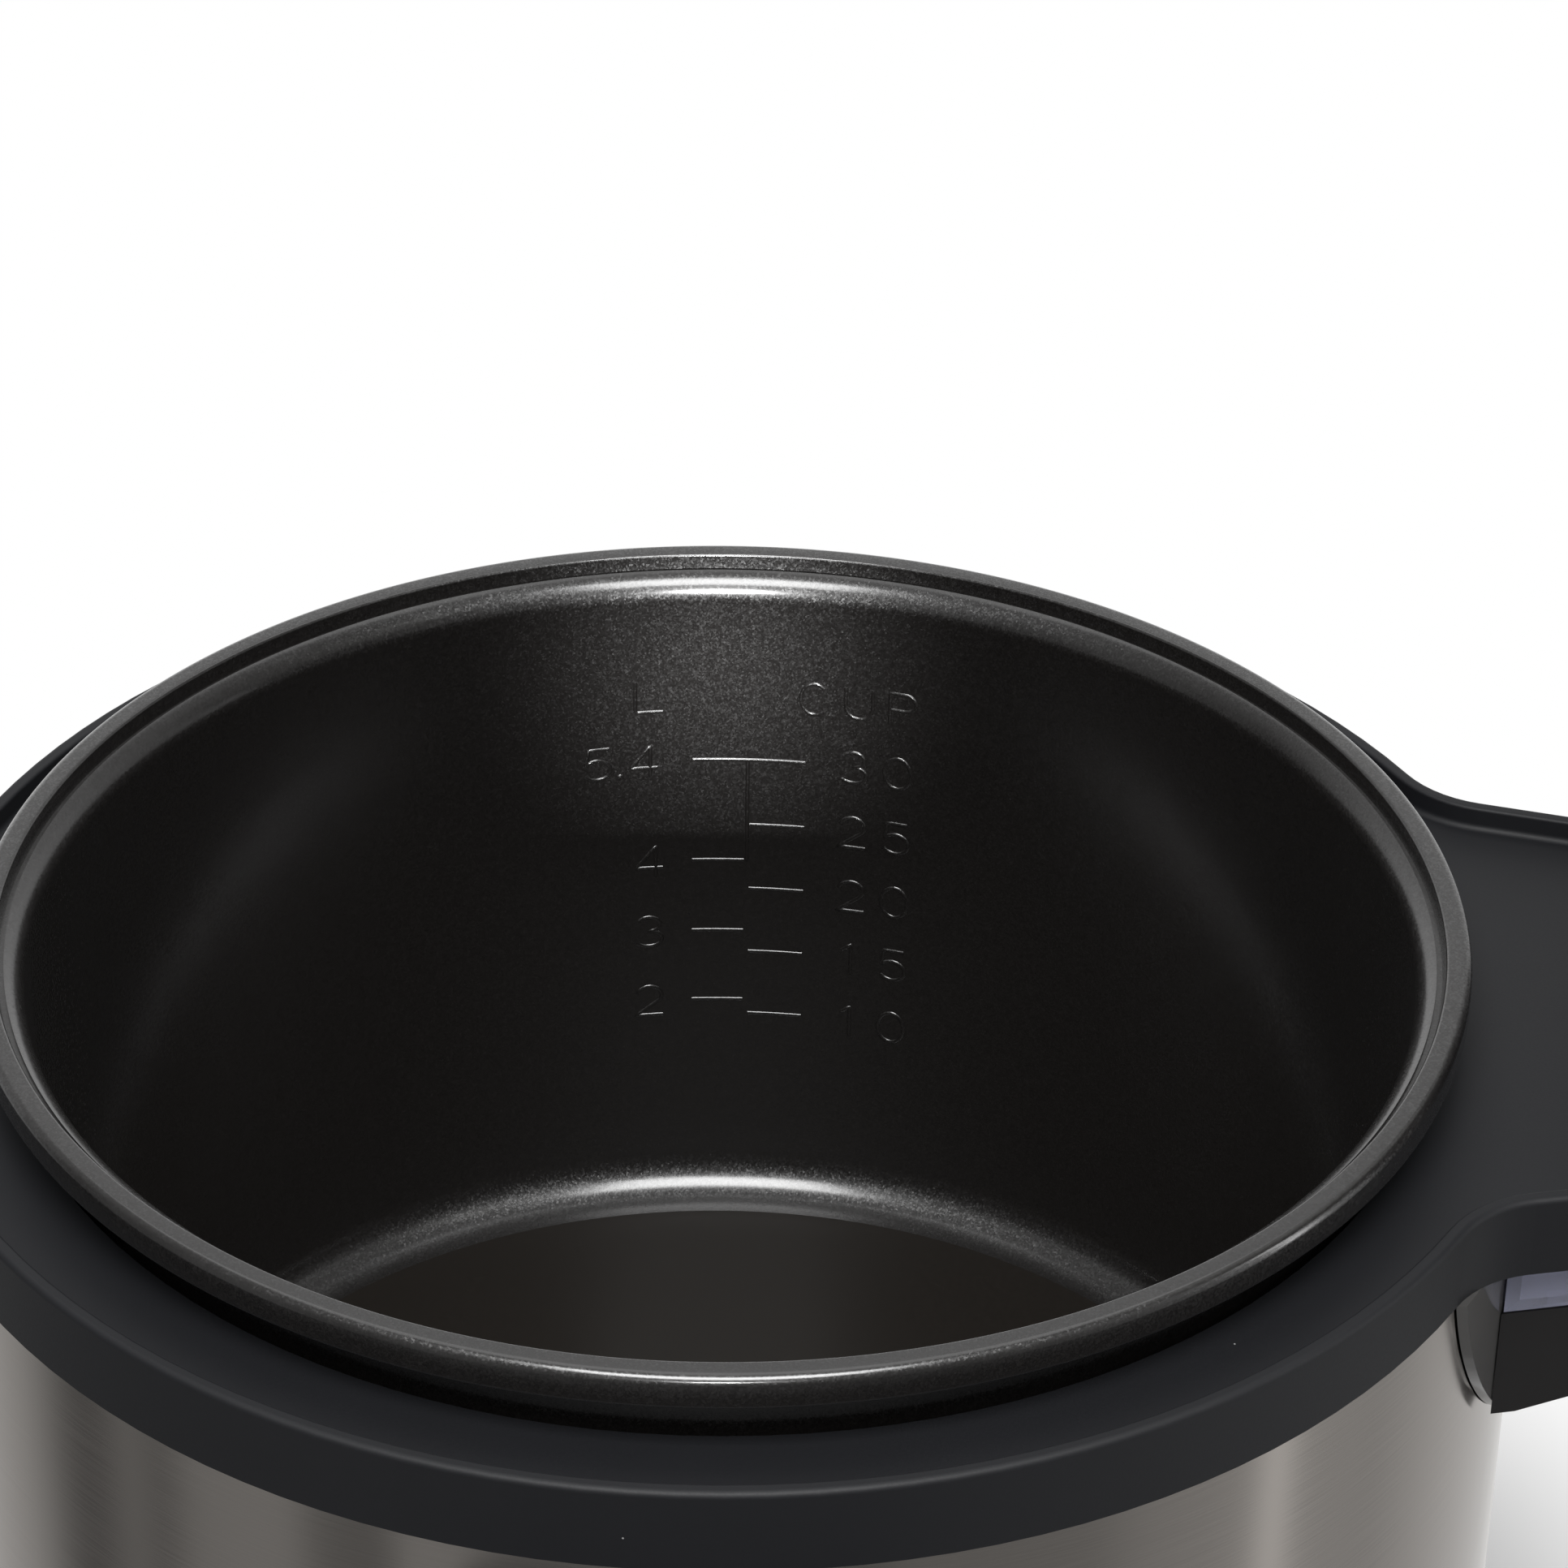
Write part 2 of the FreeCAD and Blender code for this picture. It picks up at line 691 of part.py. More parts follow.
def hinge_springs():
    length = TORSION_PITCH * (TORSION_TURNS + (LID_OPEN - 90) / 360.0)
    start = LUG_IN - TORSION_LEG_ROOM + 1.5 * TORSION_WIRE_R - length
    quarter = FreeCAD.Rotation(Y_AXIS, 90)
    place = FreeCAD.Placement(V(start, HINGE_Y, HINGE_Z), quarter)
    lean = LID_OPEN - 90
    right = coil(
        TORSION_COIL_R,
        TORSION_TURNS,
        TORSION_PITCH,
        TORSION_WIRE_R,
        place,
        lead_in=TORSION_LEG,
        lead_out=HINGE_Z - TRAY_Z - TORSION_WIRE_R,
        start_deg=270 - lean,
        extra_deg=lean,
    )
    spring_gap("hinge_springs", TORSION_PITCH, TORSION_WIRE_R)
    return right, mirrored(right)


# Outer shell and base


def lever_drop(y):
    return (PIVOT_Y - y) * math.sin(math.radians(LEVER_ANGLE))


def lever_slot(margin):
    """Window for the lever's travel through the front wall."""
    half = LEVER_WIDTH / 2 + margin
    low = LEVER_TOP_Z - LEVER_T - lever_drop(-BODY_R) - margin
    return block(-half, half, -2 * BODY_R, -BODY_R + SLOT_DEPTH, low, LEVER_TOP_Z + margin)


def lens_points():
    return {"cook_lens": V(-LENS_X, 0, LENS_Z), "warm_lens": V(LENS_X, 0, LENS_Z)}


def lens_bores(radius):
    return [rod(radius, p, p - Y_AXIS * 2 * BODY_R) for p in lens_points().values()]


def inlet_window(margin):
    half_w = INLET_WIDTH / 2 + margin
    half_h = INLET_HEIGHT / 2 + margin
    depth = BODY_R - INLET_DEPTH
    return block(-half_w, half_w, depth, 2 * BODY_R, INLET_Z - half_h, INLET_Z + half_h)


def handle_screw_turn():
    """Angle of a screw midway between the finger hole and the end of a handle."""
    return math.degrees(math.asin((HANDLE_HALF + HANDLE_HOLE_HALF) / 2 / PANEL_R))


def handle_screw_angles():
    turn = handle_screw_turn()
    return [-turn, turn, 180 - turn, 180 + turn]


def outer_shell():
    shell = tube(BODY_R, SHELL_IN_R, SHELL_Z, SKIRT_Z)
    cuts = [lever_slot(SLOT_MARGIN), inlet_window(FIT)] + lens_bores(LENS_R + FIT)
    for deg in handle_screw_angles():
        cuts.append(rod(SCREW_R + FIT, polar(POT_OUT_R, deg, HANDLE_Z), polar(2 * BODY_R, deg, HANDLE_Z)))
    for cut in cuts:
        shell = shell.cut(cut)
    return shell


def foot_points():
    return [polar(FOOT_PITCH_R, deg) for deg in (45, 135, 225, 315)]


def base_ring():
    low_r = BODY_R - BASE_TUCK
    spigot_r = SHELL_IN_R - FIT
    wall_r = spigot_r - BASE_WALL
    lift = BASE_HEIGHT - BASE_EDGE
    tuck_r = (BASE_TUCK**2 + lift**2) / (2 * BASE_TUCK)
    start_deg = math.degrees(math.atan2(-lift, tuck_r - BASE_TUCK))
    ring = turned(
        (FLANGE_IN_R, BASE_Z),
        (low_r, BASE_Z),
        bend((BODY_R - tuck_r, BASE_Z + lift), tuck_r, start_deg, 0),
        (BODY_R, SHELL_Z),
        (spigot_r, SHELL_Z),
        (spigot_r, SHELL_Z + BASE_SPIGOT),
        (wall_r, SHELL_Z + BASE_SPIGOT),
        (wall_r, SHELL_Z - BASE_EDGE),
        (low_r - BASE_WALL, FLANGE_TOP_Z),
        (FLANGE_IN_R, FLANGE_TOP_Z),
    )
    for p in foot_points():
        ring = ring.fuse(rod(BOSS_R, p + Z_AXIS * BASE_Z, p + Z_AXIS * (FLANGE_TOP_Z + BOSS_H)))
    for p in foot_points():
        ring = ring.cut(rod(SCREW_R + SCREW_CLEAR, p, p + Z_AXIS * (FLANGE_TOP_Z + BOSS_H)))
    for window in (lever_slot(SLOT_MARGIN), inlet_window(FIT)):
        ring = ring.cut(window)
    return ring.removeSplitter()


def bottom_plate():
    plate = rod(PLATE_R, V(0, 0, FOOT_H), V(0, 0, BASE_Z))
    for p in foot_points():
        plate = plate.cut(rod(SCREW_R + SCREW_CLEAR, p, p + Z_AXIS * BASE_Z))
    half_l = VENT_SLOT_LENGTH / 2
    half_w = VENT_SLOT_WIDTH / 2
    slot = rounded_block(
        VENT_SLOT_R - half_l, VENT_SLOT_R + half_l, -half_w, half_w, 0, BASE_Z, VENT_SLOT_ROUND, Z_AXIS
    )
    for i in range(VENT_SLOTS):
        one = slot.copy()
        one.rotate(V(0, 0, 0), Z_AXIS, 360.0 * (i + 0.5) / VENT_SLOTS)
        plate = plate.cut(one)
    return plate


def feet():
    foot = turned(
        (FOOT_WELL_R, 0),
        (FOOT_R - FOOT_TAPER, 0),
        (FOOT_R, FOOT_H),
        (SCREW_R + SCREW_CLEAR, FOOT_H),
        (SCREW_R + SCREW_CLEAR, FOOT_WELL),
        (FOOT_WELL_R, FOOT_WELL),
    )
    return [foot.translated(p) for p in foot_points()]


def base_screws():
    head_z = FOOT_WELL - SCREW_HEAD_H
    screw = rod(SCREW_HEAD_R, V(0, 0, head_z), V(0, 0, FOOT_WELL))
    screw = screw.fuse(rod(SCREW_R, V(0, 0, FOOT_WELL), V(0, 0, FLANGE_TOP_Z + BOSS_H))).removeSplitter()
    return [screw.translated(p) for p in foot_points()]


# Liner, heater and thermostat


def inner_liner():
    outer = LINER_R + LINER_WALL
    inner_corner = (LINER_R - LINER_CORNER, LINER_TOP_Z + LINER_CORNER)
    liner = turned(
        (LINER_HOLE_R, LINER_FLOOR_Z),
        (inner_corner[0], LINER_FLOOR_Z),
        bend(inner_corner, LINER_CORNER + LINER_WALL, -90, 0),
        (outer, RING_UNDER_Z - LINER_WALL),
        (LINER_R + LINER_FLANGE, RING_UNDER_Z - LINER_WALL),
        (LINER_R + LINER_FLANGE, RING_UNDER_Z),
        (LINER_R, RING_UNDER_Z),
        (LINER_R, inner_corner[1]),
        bend(inner_corner, LINER_CORNER, 0, -90),
        (LINER_HOLE_R, LINER_TOP_Z),
    )
    for p in element_ends():
        foot = V(p.x, p.y, 0)
        liner = liner.cut(rod(INSULATOR_R + FIT, foot, foot + Z_AXIS * LINER_TOP_Z))
    return liner


def tie_posts():
    foot = Z_AXIS * FLANGE_TOP_Z
    head = Z_AXIS * LINER_FLOOR_Z
    return [rod(TIE_R, polar(TIE_PITCH_R, deg) + foot, polar(TIE_PITCH_R, deg) + head) for deg in TIE_ANGLES]


def element_path():
    """Centre line of the tubular element: leg, bend, long arc, bend, leg."""
    turn = math.degrees(ELEMENT_BEND_R / ELEMENT_R)
    start = ELEMENT_LEG_ANGLE + turn
    low_z = LINER_FLOOR_Z - ELEMENT_LEG_END
    slack = ELEMENT_BEND_R * (1 - math.sqrt(0.5))

    def leg(sign):
        ring_point = polar(ELEMENT_R, sign * start, ELEMENT_Z)
        a = math.radians(sign * start)
        towards = V(math.sin(a), -math.cos(a), 0) * sign
        foot = ring_point + towards * ELEMENT_BEND_R
        knee = V(foot.x, foot.y, ELEMENT_Z - ELEMENT_BEND_R)
        mid = foot - towards * slack - Z_AXIS * slack
        end = V(foot.x, foot.y, low_z)
        return ring_point, mid, knee, end

    ring_a, mid_a, knee_a, end_a = leg(1)
    ring_b, mid_b, knee_b, end_b = leg(-1)
    return [
        Part.LineSegment(end_a, knee_a).toShape(),
        Part.Arc(knee_a, mid_a, ring_a).toShape(),
        Part.Arc(ring_a, V(-ELEMENT_R, 0, ELEMENT_Z), ring_b).toShape(),
        Part.Arc(ring_b, mid_b, knee_b).toShape(),
        Part.LineSegment(knee_b, end_b).toShape(),
    ]


def element_ends():
    edges = element_path()
    return [edges[0].Vertexes[0].Point, edges[-1].Vertexes[-1].Point]


def heating_element():
    path = Part.Wire(element_path())
    start = element_ends()[0]
    profile = Part.Wire(Part.makeCircle(ELEMENT_TUBE_R, start, Z_AXIS))
    return path.makePipeShell([profile], True, False)


def heating_plate():
    bed_in = ELEMENT_R - ELEMENT_BED
    bed_out = ELEMENT_R + ELEMENT_BED
    plate = turned(
        (HEATER_HOLE_R, HEATER_BASE_Z),
        (bed_in, HEATER_BASE_Z),
        (bed_in, ELEMENT_Z),
        (bed_out, ELEMENT_Z),
        (bed_out, HEATER_BASE_Z),
        (HEATER_R, HEATER_BASE_Z),
        (HEATER_R, POT_BASE_Z - HEATER_CHAMFER),
        (HEATER_R - HEATER_CHAMFER, POT_BASE_Z),
        (HEATER_HOLE_R, POT_BASE_Z),
    )
    groove = Part.makeTorus(ELEMENT_R, ELEMENT_TUBE_R + FIT, V(0, 0, ELEMENT_Z), Z_AXIS)
    reach = ELEMENT_R + ELEMENT_BED + FIT
    leg_half = math.radians(ELEMENT_LEG_ANGLE) * ELEMENT_R + ELEMENT_BEND_R
    leg_gap = block(bed_in - FIT, reach, -leg_half, leg_half, ELEMENT_Z - FIT, HEATER_BASE_Z)
    return plate.cut(groove).cut(leg_gap)


def element_insulators():
    ring = turned(
        (ELEMENT_TUBE_R + FIT, LINER_FLOOR_Z - INSULATOR_TAIL),
        (INSULATOR_R, LINER_FLOOR_Z - INSULATOR_TAIL),
        (INSULATOR_R, LINER_TOP_Z),
        (INSULATOR_FLANGE_R, LINER_TOP_Z),
        (INSULATOR_FLANGE_R, LINER_TOP_Z + INSULATOR_FLANGE_T),
        (ELEMENT_TUBE_R + FIT, LINER_TOP_Z + INSULATOR_FLANGE_T),
    )
    return [ring.translated(V(p.x, p.y, 0)) for p in element_ends()]


def element_terminals():
    wide, thin, tall = BLADE
    blade = block(-thin / 2, thin / 2, -wide / 2, wide / 2, -tall, 0)
    return [blade.translated(p) for p in element_ends()]


def plate_posts():
    foot = Z_AXIS * LINER_TOP_Z
    head = Z_AXIS * HEATER_BASE_Z
    points = [polar(POST_PITCH_R, deg) for deg in (60, 180, 300)]
    return [rod(POST_R, p + foot, p + head) for p in points]


def warm_band():
    inner = LINER_R + LINER_WALL + FIT
    z0 = LINER_FLOOR_Z + BAND_RISE
    z1 = z0 + BAND_HEIGHT
    band = tube(inner + BAND_WALL, inner, z0, z1)
    half = BAND_SPLIT / 2
    tab = block(-half - BAND_WALL, half + BAND_WALL, inner, inner + BAND_WALL + BAND_TAB, z0, z1)
    return band.fuse(tab).cut(block(-half, half, 0, 2 * inner, z0, z1)).removeSplitter()


def thermal_fuse():
    length, width, thick = FUSE_SADDLE
    x, y = FUSE_AT
    top = LINER_FLOOR_Z
    saddle = block(x - length / 2, x + length / 2, y - width / 2, y + width / 2, top - thick, top)
    centre = top - thick - FUSE_R + FIT
    body = rod(FUSE_R, V(x - FUSE_LENGTH / 2, y, centre), V(x + FUSE_LENGTH / 2, y, centre))
    return saddle.fuse(body).removeSplitter()


def sensor_sleeve():
    bore = GUIDE_R + FIT
    floor_z = SLEEVE_BASE_Z + SLEEVE_WALL
    return turned(
        (ROD_R + FIT, SLEEVE_BASE_Z),
        (SLEEVE_R, SLEEVE_BASE_Z),
        (SLEEVE_R, LINER_TOP_Z),
        (SLEEVE_FLANGE_R, LINER_TOP_Z),
        (SLEEVE_FLANGE_R, LINER_TOP_Z + SLEEVE_FLANGE_T),
        (SLEEVE_R, LINER_TOP_Z + SLEEVE_FLANGE_T),
        (SLEEVE_R, SLEEVE_TOP_Z),
        (bore, SLEEVE_TOP_Z),
        (bore, floor_z),
        (ROD_R + FIT, floor_z),
    )


def sensor_cap():
    roof = CAP_Z - CAP_TOP_T
    bore = GUIDE_R - GUIDE_WALL
    return turned(
        (0, roof),
        (bore, roof),
        (bore, CAP_Z - GUIDE_LENGTH),
        (GUIDE_R, CAP_Z - GUIDE_LENGTH),
        (GUIDE_R, roof),
        (CAP_R - CAP_WALL, roof),
        (CAP_R - CAP_WALL, CAP_Z - CAP_SKIRT),
        (CAP_R, CAP_Z - CAP_SKIRT),
        (CAP_R, CAP_Z - CAP_WALL),
        bend((CAP_R - CAP_WALL, CAP_Z - CAP_WALL), CAP_WALL, 0, 90),
        (0, CAP_Z),
    )


def ferrite_disc():
    roof = CAP_Z - CAP_TOP_T
    return rod(FERRITE_R, V(0, 0, roof - FERRITE_T), V(0, 0, roof))


def sensor_spring():
    low = LINER_TOP_Z + SLEEVE_FLANGE_T + SENSOR_WIRE_R
    high = CAP_Z - CAP_TOP_T - SENSOR_WIRE_R
    pitch = (high - low) / SENSOR_TURNS
    spring_gap("sensor_spring", pitch, SENSOR_WIRE_R)
    place = FreeCAD.Placement(V(0, 0, low), FreeCAD.Rotation())
    return coil(SENSOR_COIL_R, SENSOR_TURNS, pitch, SENSOR_WIRE_R, place)


def magnet_unit():
    disc = rod(MAGNET_R, V(0, 0, MAGNET_BASE), V(0, 0, MAGNET_BASE + MAGNET_T))
    stem = rod(ROD_R, V(0, 0, LEVER_TOP_Z + FIT), V(0, 0, MAGNET_BASE))
    return disc.fuse(stem).removeSplitter()


# Cook lever and its frame


def switch_frame():
    half = FRAME_WIDTH / 2
    front = PIVOT_Y - FRAME_LENGTH / 2
    back = PIVOT_Y + FRAME_LENGTH / 2
    frame = block(-half, half, front, back, LINER_FLOOR_Z - FRAME_T, LINER_FLOOR_Z)
    for x in (-half, half - FRAME_T):
        cheek = rounded_block(
            x, x + FRAME_T, front, back, FRAME_CHEEK_END, LINER_FLOOR_Z, FRAME_CHEEK_ROUND, X_AXIS
        )
        frame = frame.fuse(cheek)
    bore_r = LEVER_PIN_R + PIN_FIT
    return frame.cut(rod(bore_r, V(-half, PIVOT_Y, PIVOT_Z), V(half, PIVOT_Y, PIVOT_Z))).removeSplitter()


def lever_pin():
    half = FRAME_WIDTH / 2
    pin = rod(LEVER_PIN_R, V(-half - LEVER_PIN_HEAD_T, PIVOT_Y, PIVOT_Z), V(half, PIVOT_Y, PIVOT_Z))
    head = rod(LEVER_PIN_HEAD_R, V(half, PIVOT_Y, PIVOT_Z), V(half + LEVER_PIN_HEAD_T, PIVOT_Y, PIVOT_Z))
    return pin.fuse(head).removeSplitter()


def lever_end_y():
    return -(PANEL_R + PANEL_T + LEVER_OUT)


def cook_lever():
    half = LEVER_WIDTH / 2
    arm = block(-half, half, lever_end_y(), LEVER_TIP, LEVER_TOP_Z - LEVER_T, LEVER_TOP_Z)
    hub_half = FRAME_WIDTH / 2 - FRAME_T - LEVER_HUB_GAP
    hub = rod(LEVER_HUB_R, V(-hub_half, PIVOT_Y, PIVOT_Z), V(hub_half, PIVOT_Y, PIVOT_Z))
    bore = rod(LEVER_PIN_R + PIN_FIT, V(-hub_half, PIVOT_Y, PIVOT_Z), V(hub_half, PIVOT_Y, PIVOT_Z))
    return arm.fuse(hub).cut(bore).removeSplitter()


def lever_knob():
    tip = lever_end_y()
    half = KNOB_WIDTH / 2
    low = PIVOT_Z - KNOB_HEIGHT / 2
    knob = block(-half, half, tip + KNOB_SOCKET - KNOB_DEPTH, tip + KNOB_SOCKET, low, low + KNOB_HEIGHT)
    front = tip + KNOB_SOCKET - KNOB_DEPTH
    face = [e for e in knob.Edges if e.BoundBox.YMax < front + 1e-4]
    knob = knob.makeFillet(KNOB_ROUND, face + edges_along(knob, Y_AXIS))
    socket = LEVER_WIDTH / 2 + PIN_FIT
    top = LEVER_TOP_Z + PIN_FIT
    return knob.cut(block(-socket, socket, tip, tip + KNOB_SOCKET, top - LEVER_T - 2 * PIN_FIT, top))


def micro_switch():
    """Switch under the liner, with its plunger just above the raised lever."""
    wide, deep, tall = SWITCH_SIZE
    low = LINER_FLOOR_Z - tall
    body = block(-wide / 2, wide / 2, SWITCH_Y - deep / 2, SWITCH_Y + deep / 2, low, LINER_FLOOR_Z)
    tip = LEVER_TOP_Z - lever_drop(SWITCH_Y) + FIT
    return body.fuse(rod(SWITCH_PLUNGER_R, V(0, SWITCH_Y, tip), V(0, SWITCH_Y, low))).removeSplitter()


# Panel, lamps, inlet and wiring block


def control_panel():
    half = PANEL_WIDTH / 2
    plate = rounded_block(-half, half, -2 * BODY_R, 0, PANEL_BOTTOM, PANEL_TOP, PANEL_CORNER, Y_AXIS)
    panel = plate.common(tube(PANEL_R + PANEL_T, PANEL_R, PANEL_BOTTOM, PANEL_TOP))
    panel = panel.cut(lever_slot(SLOT_MARGIN))
    for bore in lens_bores(LENS_R + FIT / 2):
        panel = panel.cut(bore)
    return panel


def lamp_lens(name):
    p = lens_points()[name]
    front = PANEL_R + PANEL_T
    flat_y = -math.sqrt(front**2 - LENS_X**2)
    stem = rod(LENS_R, V(p.x, flat_y + PANEL_T + LENS_TAIL, p.z), V(p.x, flat_y - LENS_PROUD, p.z))
    rim = [e for e in stem.Edges if e.BoundBox.YMax < flat_y - LENS_PROUD + 1e-4]
    return stem.makeFillet(LENS_ROUND, rim)


def power_inlet():
    half_w = INLET_WIDTH / 2
    half_h = INLET_HEIGHT / 2
    front = BODY_R + INLET_PROUD
    back = BODY_R - INLET_DEPTH
    low = INLET_Z - half_h
    body = block(-half_w, half_w, back, front, low, low + INLET_HEIGHT)
    wide = half_w + INLET_FLANGE
    flange = rounded_block(
        -wide, wide, 0, front, low - INLET_FLANGE, low + INLET_HEIGHT + INLET_FLANGE, INLET_CORNER, Y_AXIS
    )
    flange = flange.cut(rod(PANEL_R, V(0, 0, 0), V(0, 0, RIM_Z)))
    body = body.fuse(flange)
    inner_w = half_w - INLET_WALL
    inner_h = half_h - INLET_WALL
    cavity = block(-inner_w, inner_w, back + INLET_WALL, front, INLET_Z - inner_h, INLET_Z + inner_h)
    body = body.cut(cavity)
    for p in inlet_pin_points():
        body = body.cut(inlet_pin(p, back - INLET_WALL, FIT / 2))
    return body.removeSplitter()


def inlet_pin_points():
    return [(-INLET_PIN_X, 0.0), (INLET_PIN_X, 0.0), (0.0, -INLET_EARTH_DROP)]


def inlet_pin(point, start, margin):
    thin, tall, length = INLET_PIN
    x, dz = point
    half_x = thin / 2 + margin
    half_z = tall / 2 + margin
    end = BODY_R - INLET_DEPTH + INLET_WALL + length
    return block(x - half_x, x + half_x, start, end, INLET_Z + dz - half_z, INLET_Z + dz + half_z)


def inlet_pins():
    start = BODY_R - INLET_DEPTH - INLET_WALL
    return [inlet_pin(p, start, 0) for p in inlet_pin_points()]


def terminal_block():
    length, width, tall = BLOCK_SIZE
    x, y = BLOCK_AT
    body = block(x - length / 2, x + length / 2, y - width / 2, y + width / 2, BASE_Z, BASE_Z + tall)
    step = length / BLOCK_WELLS
    for i in range(BLOCK_WELLS):
        well = V(x - length / 2 + step * (i + 0.5), y, BASE_Z + tall)
        body = body.cut(rod(BLOCK_WELL_R, well - Z_AXIS * BLOCK_WELL_DEPTH, well))
    return body


# Plinth and drip collector


def rear_plinth():
    top = SKIRT_Z
    low = top - PLINTH_DROP
    mid_z = top - PLINTH_MID_DROP
    right_top = V(PLINTH_TOP_HALF, 0, top)
    right_mid = V(PLINTH_MID_HALF, 0, mid_z)
    right_low = V(PLINTH_END_HALF, 0, low)
    left_low = V(-PLINTH_END_HALF, 0, low)
    left_mid = V(-PLINTH_MID_HALF, 0, mid_z)
    left_top = V(-PLINTH_TOP_HALF, 0, top)
    wire = Part.Wire(
        [
            Part.Arc(right_top, right_mid, right_low).toShape(),
            Part.LineSegment(right_low, left_low).toShape(),
            Part.Arc(left_low, left_mid, left_top).toShape(),
            Part.LineSegment(left_top, right_top).toShape(),
        ]
    )
    plate = Part.Face(wire).extrude(V(0, 2 * BODY_R, 0))
    plate = plate.common(tube(PLINTH_R + PLINTH_T, PLINTH_R, low, top))
    for peg in collector_pegs(PEG_R, 0):
        plate = plate.fuse(peg)
    return plate.removeSplitter()


def collector_pegs(radius, extra):
    """Short pegs that stand out of the plinth and carry the collector."""
    pegs = []
    for x in (-PEG_X, PEG_X):
        face_y = math.sqrt((PLINTH_R + PLINTH_T) ** 2 - PEG_X**2)
        pegs.append(rod(radius, V(x, face_y - PLINTH_T / 2, PEG_Z), V(x, face_y + PEG_LENGTH + extra, PEG_Z)))
    return pegs


def bin_outline(inset, back_inset):
    """Collector seen from above: hollow back, tapering sides and rounded outer corners."""
    a = math.radians(TONGUE_TAPER)
    normal = V(math.cos(a), math.sin(a), 0)
    along = V(-math.sin(a), math.cos(a), 0)
    start = V(BIN_HALF, math.sqrt(BIN_R**2 - BIN_HALF**2), 0)
    side = normal.dot(start) - inset
    radius = BIN_R + back_inset
    root = normal * side + along * math.sqrt(radius**2 - side**2)
    round_r = BIN_CORNER - inset
    corner_y = BIN_END - BIN_CORNER
    corner = V((side - round_r - normal.y * corner_y) / normal.x, corner_y, 0)
    turn = corner + normal * round_r
    turn_mid = corner + (normal + Y_AXIS).normalize() * round_r
    back = corner + Y_AXIS * round_r

    def other(p):
        return V(-p.x, p.y, 0)

    return Part.Wire(
        [
            Part.Arc(other(root), V(0, radius, 0), root).toShape(),
            Part.LineSegment(root, turn).toShape(),
            Part.Arc(turn, turn_mid, back).toShape(),
            Part.LineSegment(back, other(back)).toShape(),
            Part.Arc(other(back), other(turn_mid), other(turn)).toShape(),
            Part.LineSegment(other(turn), other(root)).toShape(),
        ]
    )


def bin_underside(lift):
    """Everything below the collector's floor, which rises towards its outer end."""
    rise = (BIN_END - BIN_FLAT_END) * math.tan(math.radians(BIN_SLOPE))
    base = BIN_BASE + lift
    points = [
        V(0, 0, 0),
        V(0, 0, base),
        V(0, BIN_FLAT_END, base),
        V(0, BIN_END, base + rise),
        V(0, BIN_END, 0),
    ]
    face = Part.Face(Part.makePolygon(points + points[:1]))
    wedge = face.extrude(V(2 * BODY_R, 0, 0))
    return wedge.translated(V(-BODY_R, 0, 0))


def collector_bin():
    outer = prism(bin_outline(0, 0), BIN_BASE, BIN_TOP).cut(bin_underside(0))
    inner = prism(bin_outline(BIN_WALL, BIN_BACK_WALL), BIN_BASE, BIN_TOP).cut(bin_underside(BIN_FLOOR))
    tray = outer.cut(inner)
    for peg in collector_pegs(PEG_R + FIT, FIT):
        tray = tray.cut(peg)
    return tray


def collector_cup():
    gap = BIN_WALL + FIT
    back = BIN_BACK_WALL + FIT
    outer = prism(bin_outline(gap, back), BIN_BASE, CUP_TOP).cut(bin_underside(BIN_FLOOR + FIT))
    inner = prism(bin_outline(gap + CUP_WALL, back + CUP_WALL), BIN_BASE, CUP_TOP)
    return outer.cut(inner.cut(bin_underside(BIN_FLOOR + FIT + CUP_FLOOR)))


# Side handles


def side_handle():
    reach = BODY_R + HANDLE_REACH
    low = HANDLE_Z - HANDLE_HEIGHT / 2
    high = HANDLE_Z + HANDLE_HEIGHT / 2
    outer = block(0, reach, -HANDLE_HALF, HANDLE_HALF, low, high)
    far = [e for e in edges_along(outer, Z_AXIS) if e.BoundBox.XMin > 1]
    outer = outer.makeFillet(HANDLE_CORNER, far)
    rims = [e for e in edges_at(outer, low) + edges_at(outer, high) if e.BoundBox.XMax > BODY_R]
    outer = outer.makeFillet(HANDLE_ROUND, rims)
    hole = rounded_block(
        BODY_R + HANDLE_BACK,
        reach - HANDLE_GRIP,
        -HANDLE_HOLE_HALF,
        HANDLE_HOLE_HALF,
        low,
        high,
        HANDLE_HOLE_CORNER,
        Z_AXIS,
    )
    handle = outer.cut(hole).cut(rod(PANEL_R, V(0, 0, low), V(0, 0, high)))
    for deg in (-handle_screw_turn(), handle_screw_turn()):
        end = polar(PANEL_R + HANDLE_SCREW_LENGTH, deg, HANDLE_Z)
        handle = handle.cut(rod(SCREW_R + SCREW_CLEAR, polar(POT_R, deg, HANDLE_Z), end))
    return handle


def handle_screws():
    screws = []
    for deg in handle_screw_angles():
        seat = SHELL_IN_R - SCREW_CLEAR
        head = rod(SCREW_HEAD_R, polar(seat - SCREW_HEAD_H, deg, HANDLE_Z), polar(seat, deg, HANDLE_Z))
        end = PANEL_R + HANDLE_SCREW_LENGTH
        stem = rod(SCREW_R, polar(seat - SCREW_HEAD_H, deg, HANDLE_Z), polar(end, deg, HANDLE_Z))
        screws.append(head.fuse(stem).removeSplitter())
    return screws


# Lid, modelled closed and then turned open


